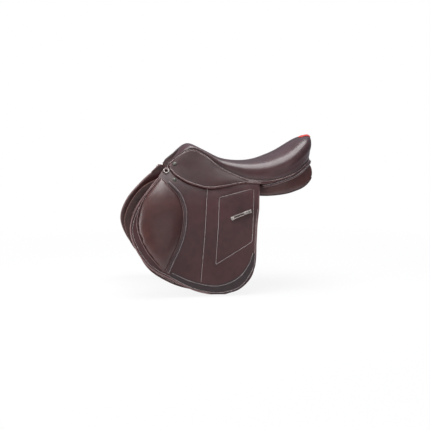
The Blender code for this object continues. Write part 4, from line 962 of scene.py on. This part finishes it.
def make_inlay():
    s = np.linspace(INLAY_FIRST, SEAT_LAST, 30)
    reach = 0.12 + 0.88 * np.sqrt(np.maximum(1 - np.linspace(1, 0, 30) ** 2, 0))
    grid = []
    for station, w in zip(s, reach * INLAY_HALF):
        grid.append(seat_grid(np.array([station]), np.linspace(INLAY_MIDDLE - w, INLAY_MIDDLE + w, 26))[0])
    grid = np.array(grid)
    grid = grid + grid_normals(grid, np.array([0, 0, 1.0])) * (TOUCH_GAP + INLAY_PROUD)
    grid[-1, :, 1] = 0.0
    whole = np.concatenate([grid, near(grid[-2::-1])], axis=0)
    patch = leather("cantle_patch", whole, INLAY_THICK, RED, toward=(0.3, 0, 1), wear=0.0015)
    fit_middle(patch, nodes=["cantle_inlay"])


# Flap and what is sewn on it


def swell(xz):
    """How far the flap's leather stands off its plain face, over the buckles' guard and the bar."""
    away = np.linalg.norm((xz - np.array(FLAP_SWELL)) / np.array(FLAP_SWELL_REACH), axis=-1)
    return FLAP_SWELL_HEIGHT * np.exp(-away ** 2)


PANEL_OUTLINE = resampled(rounded_outline(PANEL_CORNERS, PANEL_CORNER_RADIUS))
SEAM_LINE = resampled(through(FLAP_SEAM, np.linspace(0, 1, 60)))


def make_flap():
    u, t = np.linspace(0, 1, 120), np.linspace(0, 1, 100)
    head_top = through(HEAD_TOP, u)
    fold = np.array(FLAP_FOLD[0]) + (np.array(FLAP_FOLD[1]) - np.array(FLAP_FOLD[0])) * u[:, None]
    v = np.linspace(0, 1, 16)[:-1, None]
    head = head_top[None] * (1 - v[..., None]) + fold[None] * v[..., None]
    xz = np.concatenate([head, ruled(through(FLAP_FRONT, t), through(FLAP_REAR, t), len(u))])
    rise = np.zeros(xz.shape[:2])
    rise[: len(v)] = HEAD_RISE * smooth((u - 0.40) / 0.30) * (1 - smooth(2 * v))
    seam = np.exp(-(distance_to(xz, SEAM_LINE[::3]) / SEAM_WIDTH) ** 2)
    panel = np.exp(-(distance_to(xz, PANEL_OUTLINE[::3]) / SEAM_WIDTH) ** 2)
    ripple = 0.00025 * np.sin(xz[..., 0] * 61 + 1.3) * np.sin(xz[..., 1] * 47 + 0.4)
    grid = on_face(xz, 0.0005 * seam + 0.0004 * panel - rise + ripple - swell(xz))
    # The seam lines and the panel's outline are pressed in above; their grooves also get painted shade
    flap = leather("flap_leather_near", grid, FLAP_THICK, BROWN, groove_shade=0.55 * seam + 0.35 * panel)
    fit(flap, "flap", ["flap_head", "flap"], fold=FLAP_BEND)


def make_flap_trim():
    t = np.linspace(0, 1, 220)
    front, rear_points = resampled(through(FLAP_FRONT, t)), through(FLAP_REAR, t)
    rear = resampled(rear_points)
    lines = [face_line(aside(SEAM_LINE, FLAP_SEAM_ASIDE)), face_line(PANEL_OUTLINE, swell(PANEL_OUTLINE)),
             face_line(aside(front, FLAP_FRONT_INSET)),
             face_line(aside(rear, -FLAP_REAR_INSET)[: int(len(rear) * FLAP_REAR_SHARE)])]
    fit(stitch_rows("flap_stitches_near", lines), "flap", fold=FLAP_BEND)

    welt = face_line(aside(front, 0.0018), 0.0004)
    fit(cord("flap_welt_near", welt, FLAP_WELT, WELT), "flap", fold=FLAP_BEND)

    top = np.linspace(FLAP_TOP_REAR, FLAP_REAR[0], 30)[:-1]
    binding = face_line(aside(resampled(np.concatenate([top, rear_points[:130]])), -0.0010))
    fit(cord("flap_binding_near", binding, FLAP_BINDING, WELT), "flap", fold=FLAP_BEND)

    ridge = PANEL_OUTLINE[:-1] + unit(np.mean(PANEL_CORNERS, axis=0) - PANEL_OUTLINE[:-1]) * 0.0022
    path, up = face_line(ridge, swell(ridge) - 0.0004)
    fit(tube("flap_ridge_near", path, up, 0.0010, BROWN, closed=True), "flap", fold=FLAP_BEND)


def make_patch():
    """The grained reinforcement along the flap's lower edge."""
    t = np.linspace(0, 1, 170)
    inner, outer = through(PATCH_INNER, t), through(PATCH_OUTER, t)
    raised = TOUCH_GAP + PATCH_THICK
    grid = on_face(ruled(inner, outer, 12), -raised)
    patch = leather("bottom_patch_near", grid, PATCH_THICK, GRAINED, wear=0.002)
    fit(patch, "flap", ["flap_patch"])
    rows = [face_line(resampled(inner + (outer - inner) * share), raised) for share in (0.14, 0.86)]
    fit(stitch_rows("patch_stitches_near", rows), "flap")


def make_knee_pad():
    t, u = np.linspace(0, 1, 90), np.linspace(0, 1, 56)
    xz = ruled(through(PAD_FRONT, t), through(PAD_REAR, t), len(u), PAD_INSET)
    full = np.where(t < 0.985, np.maximum(np.sin(np.pi * np.minimum(1, t * 1.015)), 0) ** 0.50, 0)
    across = np.maximum(1 - np.abs(2 * u - 1) ** 2.2, 0) ** 0.58
    height = PAD_HEIGHT * (full * (1.0 - 0.25 * t))[:, None] * across[None, :]
    crown = on_face(xz, -(TOUCH_GAP + PAD_RIM + height))
    pad = cushion("knee_cushion_near", crown, on_face(xz, -TOUCH_GAP), PAD_BROWN)
    inflated(pad, PAD_CAP, lambda points: under_face(points) > -PAD_HOLD)
    fit(pad, "flap", ["knee_pad"])

    ring = np.concatenate([through(PAD_FRONT, np.linspace(0.01, 0.99, 150)),
                           through(PAD_REAR, np.linspace(0.99, 0.01, 150))])
    path, up = face_line(ring, 0.0014)
    fit(tube("pad_welt_near", path, up, PAD_WELT, WELT, closed=True), "flap")


def make_knee_band():
    """The flat stitched band behind the knee pad."""
    line = through(PAD_REAR, np.linspace(0.08, 1.0, 150))
    xz = ruled(aside(line, BAND_FROM), aside(line, BAND_TO), 9)
    rounded = BAND_RISE * (1 - np.linspace(-1, 1, 9) ** 4)
    grid = on_face(xz, -(TOUCH_GAP + 0.0004 + rounded)[None, :] * np.ones((len(line), 1)))
    fit(leather("pad_band_near", grid, BAND_THICK, DARK_WELT, wear=0.002), "flap", ["knee_band"])
    row = face_line(resampled(aside(line, BAND_SEAM_ASIDE)), TOUCH_GAP + BAND_SEAM_LIFT)
    fit(stitch_rows("band_stitches_near", [row]), "flap")


# Keeper, nails and dee


def make_keeper():
    """The keeper: two metal rails with end caps over a dark strap, and its round boss."""
    ends = np.array(KEEPER_ENDS)
    p, q = on_face(ends)
    middle = ends.mean(axis=0)
    out = face_normal(middle[0], middle[1])
    along = unit(q - p)
    up = unit(np.cross(out, along))
    up *= np.sign(up[2])
    share = np.concatenate([np.linspace(0, 0.08, 6), np.linspace(0.09, 0.16, 12), np.linspace(0.18, 0.82, 24),
                            np.linspace(0.84, 0.91, 12), np.linspace(0.92, 1, 6)])
    rise = smooth((share - KEEPER_FOOT) / KEEPER_SLOPE) * smooth((1 - KEEPER_FOOT - share) / KEEPER_SLOPE)
    base = p + along * np.linalg.norm(q - p) * share[:, None]
    clear = np.zeros(len(share))
    for w in (-0.5, 0, 0.5):
        spot = base + up * KEEPER_WIDTH * w
        clear = np.maximum(clear, under_face(spot) + swell(spot[:, [0, 2]]) * 0.5)
    height = clear + TOUCH_GAP + rise * KEEPER_LIFT

    # Each piece: from and to across the keeper, how proud it stands, columns, and which rows it takes
    strips = [(-0.0028, 0.0028, 0.0010, 7, slice(None)), (0.0024, 0.00475, 0.0018, 5, slice(None)),
              (-0.00475, -0.0024, 0.0018, 5, slice(None)), (-0.0052, 0.0052, 0.0022, 9, slice(0, 12)),
              (-0.0052, 0.0052, 0.0022, 9, slice(-12, None)), (-0.0050, 0.0050, 0.0022, 9, slice(36, 44))]
    grids = []
    for low, high, proud, columns, keep in strips:
        line = (base + out * (height + proud)[:, None])[keep]
        across = np.linspace(-1, 1, columns)[None, :, None]
        grids.append(line[:, None] + up * ((low + high) / 2 + across * (high - low) / 2)
                     + out * KEEPER_CROWN * (1 - across ** 2))
    fit(leather("keeper_strap_near", grids[0], KEEPER_STRAP_THICK, DARK_WELT), "flap")
    for i, grid in enumerate(grids[1:]):
        rail = leather(f"keeper_rail_{i}_near", grid, KEEPER_RAIL_THICK, PEWTER, wear=0.001)
        fit(rail, "flap", ["leather_keeper"])

    centre_low, centre_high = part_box("keeper_boss_near")
    centre = np.array((centre_low + centre_high) / 2)
    boss = turned("keeper_button_near", centre - out * BOSS_SUNK, out, along, BOSS_PROFILE, PEWTER, 40)
    fit(boss, "flap", ["keeper_boss"])


def make_nails():
    spot = np.array(FLAP_NAIL)
    out = face_normal(spot[0], spot[1])
    fit(turned("flap_stud_near", on_face(spot, -1.5 * TOUCH_GAP), out, np.array([1.0, 0, 0]), NAIL_PROFILE,
               NAIL_METAL), nodes=["flap_nail"])
    grid = skirt_grid(SKIRT_NAIL[0] + np.array([-0.1, 0, 0.1]), 61)
    low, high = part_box("skirt_nail_near")
    centre = np.array((low + high) / 2)
    i = int(np.argmin(np.linalg.norm(grid[1] - centre, axis=1)))
    along = grid[2, i] - grid[0, i]
    out = unit(np.cross(grid[1, i + 1] - grid[1, i - 1], along))
    out *= -np.sign(out[1])
    fit(turned("skirt_stud_near", centre - out * NAIL_SUNK, out, unit(along), NAIL_PROFILE, NAIL_METAL),
        nodes=["skirt_nail"])


def make_dee():
    """The ring beside the pommel and the folded strap that holds it."""
    spot = np.array(DEE_AT)
    out = face_normal(spot[0], spot[1])
    centre = on_face(spot, -DEE_LIFT)
    along = unit(np.array([1.0, 0, 0]) - out * out[0])
    up = np.cross(along, out)
    up *= np.sign(up[2])
    half = DEE_WIDTH / 2
    angles = np.linspace(0, np.pi, 40)
    ring = np.stack([half * np.cos(angles), -DEE_DEPTH * np.sin(angles) ** 0.8], axis=-1)
    ring = np.concatenate([ring, np.linspace((-half, 0), (half, 0), 24)[1:-1]])
    for _ in range(3):
        ring = (np.roll(ring, 1, axis=0) + 2 * ring + np.roll(ring, -1, axis=0)) / 4
    path = centre + along * ring[:, :1] + up * ring[:, 1:]
    wire = tube("dee_ring_near", path, np.tile(out, (len(path), 1)), DEE_WIRE, PEWTER, sides=12, closed=True)
    fit(wire, "dee", ["dee"])

    wrap = DEE_WIRE + TOUCH_GAP + DEE_STRAP_THICK
    strip = np.array([(DEE_STRAP_LONG, wrap - 0.0010), (0.0030, wrap - 0.0002)]
                     + [(-wrap * np.sin(a), wrap * np.cos(a)) for a in np.linspace(0, np.pi, 16)]
                     + [(0.0030, -wrap + 0.0002), (DEE_STRAP_LONG, -wrap + 0.0006)])
    w = DEE_STRAP_HALF * np.linspace(-1, 1, 9)[None, :, None]
    grid = centre + up * strip[:, None, :1] + out * strip[:, None, 1:] + along * w
    holder = leather("dee_strap_near", grid, DEE_STRAP_THICK, BROWN, toward=tuple(out - up))
    fit(holder, nodes=["dee_chape"])


# Under the flap


def make_sweat_flap():
    t = np.linspace(0, 1, 90)
    xz = ruled(through(SWEAT_FRONT, t), through(SWEAT_REAR, t), 70)
    sweat = leather("sweat_flap_leather_near", on_face(xz, SWEAT_DEPTH), SWEAT_THICK, INNER)
    fit(sweat, nodes=["sweat_flap"])
    front = aside(resampled(through(SWEAT_FRONT, np.linspace(0, 1, 200))), 0.006)
    rear = aside(resampled(through(SWEAT_REAR, np.linspace(0.15, 1, 200))), -0.006)
    fit(stitch_rows("sweat_flap_stitches_near", [face_line(line, -SWEAT_DEPTH) for line in (front, rear)]))


def make_knee_roll():
    t, u = np.linspace(0, 1, 70), np.linspace(0, 1, 48)
    xz = ruled(through(KNEE_ROLL_FRONT, t), through(KNEE_ROLL_REAR, t), len(u))
    full = smooth(np.minimum(t, 1 - t) * 4)
    across = np.sqrt(np.maximum(1 - (2 * u - 1) ** 4, 0)) * (1 - 0.45 * u)
    depth = KNEE_ROLL_DEPTH + ROLL_RIM + ROLL_HEIGHT * full[:, None] * across[None, :]
    roll = cushion("knee_roll_cushion_near", on_face(xz, KNEE_ROLL_DEPTH), on_face(xz, depth), INNER)
    inflated(roll, PAD_CAP, lambda points: under_face(points) < KNEE_ROLL_DEPTH + ROLL_HOLD)
    fit(roll, nodes=["knee_roll"])


def make_guard():
    xz = level_grid(GUARD_X, GUARD_Z, 40, 46)
    guard = leather("guard_leather_near", on_face(xz, GUARD_DEPTH), GUARD_THICK, BROWN)
    fit(guard, "buckle_guard", ["buckle_guard"])
    (left, right), (high, low), inset = GUARD_X, GUARD_Z, GUARD_SEAM_INSET
    ring = rounded_outline(((left + inset, high - inset), (right - inset, high - inset),
                            (right - inset, low + inset), (left + inset, low + inset)), 0.004)
    fit(stitch_rows("guard_stitches_near", [face_line(resampled(ring), -GUARD_DEPTH)]), "buckle_guard")


def make_billet(name, x):
    levels = np.concatenate([np.linspace(BILLET_TOP_Z, BILLET_TIP_Z + BILLET_POINT, 70),
                             BILLET_TIP_Z + BILLET_POINT * np.linspace(0.9, 0, 10)])
    point = np.clip((levels - BILLET_TIP_Z) / BILLET_POINT, 0, 1)
    half = BILLET_WIDTH / 2 * (0.35 + 0.65 * np.sqrt(point))
    xs = x + half[:, None] * np.linspace(-1, 1, 15)[None, :]
    xz = np.stack([xs, np.broadcast_to(levels[:, None], xs.shape)], axis=-1)
    strap = settle(leather(f"billet_{name}_strap_near", on_face(xz, BILLET_DEPTH), BILLET_THICK, BROWN))
    first = BILLET_TIP_Z + BILLET_POINT + BILLET_HOLE_FIRST
    profile = ((BILLET_HOLE_RADIUS, 0.0), (BILLET_HOLE_RADIUS, PUNCH_LENGTH))
    cutters = []
    for i in range(BILLET_HOLES):
        spot = np.array((x, first + BILLET_HOLE_PITCH * i))
        out = face_normal(spot[0], spot[1])
        at = on_face(spot, BILLET_DEPTH + PUNCH_DEPTH)
        cutters.append(turned("punch", at, out, np.array([1.0, 0, 0]), profile, BROWN, 20))
    for punch in cutters:
        cut = strap.modifiers.new("hole", "BOOLEAN")
        cut.operation, cut.solver, cut.object = "DIFFERENCE", "EXACT", punch
    strap.data = evaluated(strap)
    strap.modifiers.clear()
    for punch in cutters:
        bpy.data.objects.remove(punch)
    fit(strap, f"billet_{name}", [f"billet_{name}"])
    sides = []
    for edge in (x - BILLET_SEAM_HALF, x + BILLET_SEAM_HALF):
        line = np.linspace((edge, BILLET_SEAM_Z[0]), (edge, BILLET_SEAM_Z[1]), 100)
        sides.append(face_line(resampled(line), -BILLET_DEPTH - BILLET_SEAM_SUNK))
    fit(stitch_rows(f"billet_{name}_stitches_near", sides, radius=0.00030), f"billet_{name}")


def make_billet_web():
    left = min(BILLET_X.values()) - BILLET_WIDTH / 2 - WEB_OVERLAP
    right = max(BILLET_X.values()) + BILLET_WIDTH / 2 + WEB_OVERLAP
    low = WEB_TOP_Z - WEB_HEIGHT
    grid = on_face(level_grid((left, right), (WEB_TOP_Z, low), 40, 12), WEB_DEPTH)
    web = leather("billet_web_strap_near", grid, WEB_THICK, WEBBING)
    fit(web, nodes=["billet_web"])
    rows = []
    for z in (WEB_TOP_Z - 0.004, low + 0.004):
        line = np.linspace((left + 0.003, z), (right - 0.003, z), 60)
        rows.append(face_line(resampled(line), -WEB_DEPTH))
    fit(stitch_rows("billet_web_stitches_near", rows))


# Panels, piping and pommel


def make_panel():
    flat = [(row[0], *[v for corner in row[1:] for v in corner]) for row in PANEL_STATIONS]
    c, s = circle(PANEL_SIDES)
    u = np.sign(c) * np.abs(c) ** PANEL_SQUARE * 0.5 + 0.5
    v = np.sign(s) * np.abs(s) ** PANEL_SQUARE * 0.5 + 0.5
    sections = []
    for row in at_station(flat, np.linspace(0, len(flat) - 1, 110)):
        corners = [np.array([row[0], -row[k], row[k + 1]]) for k in (1, 3, 5, 7)]
        top = corners[0] + (corners[1] - corners[0]) * u
        low = corners[3] + (corners[2] - corners[3]) * u
        sections.append(low + (top - low) * v)
    sections = np.array(sections)
    ends = []
    for section, step in ((sections[0], -1), (sections[-1], 1)):
        centre = section.mean(axis=0)
        ends.append([centre + (section - centre) * share + np.array([step * bulge, 0, 0])
                     for share, bulge in PANEL_END])
    rings = np.concatenate([ends[0][::-1], sections, ends[1]])
    faces = ring_faces(len(rings), PANEL_SIDES)
    pad = settle(mesh_object("panel_cushion_near", rings.reshape(-1, 3), faces, PAD_BROWN))
    held = sections[:, PANEL_HELD].reshape(-1, 3)
    inflated(pad, PANEL_CAP, lambda points: np.array(
        [np.min(np.linalg.norm(held - p, axis=1)) < PANEL_HOLD for p in points]))
    fit(pad, nodes=["panel"])
    middle = sections[2:-2].mean(axis=1)
    for name, column in (("panel_top_welt_near", PANEL_TOP_SEAM), ("panel_low_welt_near", PANEL_LOW_SEAM)):
        path = sections[2:-2, column]
        up = unit(path - middle)
        fit(cord(name, (path + up * 0.0002, up), PANEL_WELT, DARK_WELT))


def make_piping():
    half = near(through(PIPING_PATH, np.linspace(0, 1, 90)))
    path = np.concatenate([half, near(half[-2::-1])])
    upward = np.tile([0.0, 0, 1.0], (len(path), 1))
    out = unit(np.cross(heading(path), upward))
    out *= np.sign((out * (path - np.array(PIPING_CENTRE))).sum(axis=1, keepdims=True))
    for name, rise, inward, radius, material, nodes in (
            ("cantle_piping_cord", -CORD_DROP, 0.0, 0.0030, DARK_WELT, ["cantle_piping"]),
            ("cantle_piping_top_cord", 0.0022, 0.0014, 0.0013, WELT, ()),
            ("cantle_piping_low_cord", -0.0049, 0.0006, 0.0016, WELT, ())):
        line = path + upward * rise - out * inward
        fit_middle(cord(name, (line, upward), radius, material), nodes=nodes)
    slant = unit(out * 0.9 + upward * 0.4)
    fit_middle(stitch_rows("cantle_braid", [(path - upward * CORD_DROP + slant * 0.0029, slant)],
                           pitch=0.0032, length=0.0022))


def make_facing():
    """The leather over the pommel's front, tucked under the seat's edge and run down to the panels."""
    rows = seat_grid(np.array([0.0, 0.3]), np.linspace(0, 1, 40))
    normals = grid_normals(rows, np.array([-0.3, -0.3, 1.0]))
    tucked = near(rows[0] - normals[0] * COVER_THICK * 0.6 + np.array([0.0015, 0, 0]))
    top = through(np.concatenate([tucked[::3], FACING_SIDE]), np.linspace(0, 1, 80))
    low = through(FACING_LOW, np.linspace(0, 1, 80))
    u = np.linspace(0, 1, 22)[:, None, None]
    grid = near(top[None] * (1 - u) + low[None] * u) + np.array([-0.0016, 0, 0]) * np.sin(np.pi * u)
    grid[:, 0, 1] = 0.0
    facing = leather("pommel_leather", grid, 0.0022, INNER, toward=(-1, 0, 0), half="column")
    fit_middle(facing, nodes=["pommel_facing"])

    path = near(top[:58]) + np.array([-0.0012, 0, -0.0008])
    path = np.concatenate([path[::-1], near(path[1:])])
    forward = np.tile(unit(np.array([-1.0, 0, 0.4])), (len(path), 1))
    fit_middle(cord("pommel_welt", (path, forward), POMMEL_WELT, DARK_WELT))
    ring = near(low[1:] + (top[1:] - low[1:]) * 0.10)
    ring = np.concatenate([ring[::-1], near(ring)]) + np.array([-0.0006, 0, 0])
    fit_middle(stitch_rows("pommel_stitches", [(ring, np.tile([-1.0, 0, 0], (len(ring), 1)))]))


def around(height):
    """The mean of each place's four neighbours."""
    wide = np.pad(height, 1, mode="edge")
    return (wide[:-2, 1:-1] + wide[2:, 1:-1] + wide[1:-1, :-2] + wide[1:-1, 2:]) / 4


def ceiling(solids, x, y):
    """The height of the lowest solid straight above a place, felt a little ahead and behind too."""
    heights = [math.inf]
    for reach in (-LINING_FEEL, 0.0, LINING_FEEL):
        for solid in solids:
            hit = solid.ray_cast(Vector((x + reach, y, LINING_BELOW)), Vector((0, 0, 1)))[0]
            if hit is not None:
                heights.append(hit.z)
    return min(heights)


def make_lining():
    """The lining of the arch and the channel between the panels, close under the tree and its plate."""
    graph = bpy.context.evaluated_depsgraph_get()
    solids = [BVHTree.FromObject(frame["nodes"][name], graph) for name in ("tree", "head_plate")]
    xs, ys = np.linspace(LINING_X[0], LINING_X[1], 90), np.linspace(0, LINING_HALF, 16)
    widen = LINING_FRONT + (1 - LINING_FRONT) * smooth((xs - LINING_X[0]) / LINING_WIDENS)
    height = np.array([[ceiling(solids, x, -y) for y in ys * share] for x, share in zip(xs, widen)])
    open_air = np.isinf(height)
    height[open_air] = np.median(height[~open_air])
    for _ in range(300):
        height[open_air] = around(height)[open_air]
    for _ in range(40):
        height = np.minimum(height, around(height))
    x, y = np.meshgrid(xs, ys, indexing="ij")
    grid = np.stack([x, -y * widen[:, None], height - LINING_GAP], axis=-1)
    fit_middle(leather("arch_lining", grid, -LINING_THICK, INNER, toward=(0, 0, 1), half="column"))


make_seat()
make_skirt()
make_seams()
make_flap()
make_flap_trim()
make_patch()
make_knee_pad()
make_knee_band()
make_keeper()
make_nails()
make_dee()
make_sweat_flap()
make_knee_roll()
make_guard()
for billet_name, billet_x in BILLET_X.items():
    make_billet(billet_name, billet_x)
make_billet_web()
make_panel()
make_piping()
make_facing()
make_lining()
make_inlay()

for metal_name, width in (("stirrup_bar", 0.0007), ("bar_catch", 0.0005), ("bar_rivet_front", 0.0003),
                          ("bar_rivet_rear", 0.0003)):
    for side_name in ("near", "off"):
        soft = frame["nodes"][f"{metal_name}_{side_name}"].modifiers.new("soft edge", "BEVEL")
        soft.width, soft.segments, soft.limit_method = width, 2, "ANGLE"


# Floor, light and camera


def background():
    world = bpy.data.worlds.new("studio")
    bpy.context.scene.world = world
    n = Nodes(world)
    light = n.tree.nodes["Background"]
    axes, sky = n.add("ShaderNodeSeparateXYZ"), n.add("ShaderNodeValToRGB")
    sky.color_ramp.elements[0].color = SKY_LOW
    sky.color_ramp.elements[1].color = SKY_HIGH
    n.join(n.places["Generated"], axes.inputs["Vector"])
    n.join(axes.outputs["Z"], sky.inputs["Fac"])
    n.join(sky.outputs["Color"], light.inputs["Color"])
    white = n.add("ShaderNodeBackground", (("Color", WHITE),))
    path = n.add("ShaderNodeLightPath")
    n.mix_shaders(path.outputs["Is Camera Ray"], light.outputs["Background"], white.outputs["Background"],
                  "World Output")


def floor():
    corners = [(x * FLOOR_SIZE, y * FLOOR_SIZE, FLOOR_Z) for x, y in ((-1, -1), (1, -1), (1, 1), (-1, 1))]
    n = material_nodes("floor")
    material = n.owner
    shader = n.tree.nodes["Principled BSDF"]
    shader.inputs["Base Color"].default_value = FLOOR_COLOUR
    shader.inputs["Roughness"].default_value = 0.9
    glow = n.add("ShaderNodeEmission", (("Strength", 1.0),))
    path = n.add("ShaderNodeLightPath")
    away = n.add("ShaderNodeVectorMath", operation="LENGTH")
    n.join(n.places["Object"], away.inputs[0])
    share = n.math("MULTIPLY", path.outputs["Is Camera Ray"], n.ranged(away.outputs["Value"], *FLOOR_GLOW))
    n.mix_shaders(share, shader.outputs["BSDF"], glow.outputs["Emission"], "Material Output")
    mesh_object("floor", np.array(corners), [(0, 1, 2, 3)], material)


def lamp(name, spot, target, size, power):
    data = bpy.data.lights.new(name, "AREA")
    data.shape = "RECTANGLE"
    data.size, data.size_y = size
    data.energy = power
    obj = bpy.data.objects.new(name, data)
    bpy.context.scene.collection.objects.link(obj)
    obj.location = spot
    obj.rotation_euler = (Vector(target) - Vector(spot)).to_track_quat("-Z", "Y").to_euler()


def camera():
    yaw, pitch = math.radians(CAMERA_YAW), math.radians(CAMERA_PITCH)
    back = Vector((-math.sin(yaw) * math.cos(pitch), -math.cos(yaw) * math.cos(pitch), math.sin(pitch)))
    right = Vector((math.cos(yaw), -math.sin(yaw), 0))
    turn = Matrix((right, back.cross(right), back)).transposed().to_4x4()
    data = bpy.data.cameras.new("camera")
    data.lens, data.sensor_width = CAMERA_LENS, CAMERA_SENSOR
    obj = bpy.data.objects.new("camera", data)
    obj.matrix_world = Matrix.Translation(Vector(CAMERA_TARGET) + back * CAMERA_DISTANCE) @ turn
    bpy.context.scene.collection.objects.link(obj)
    bpy.context.scene.camera = obj


background()
floor()
for row in LAMPS:
    lamp(*row)
camera()
bpy.context.scene.view_settings.view_transform = "Standard"
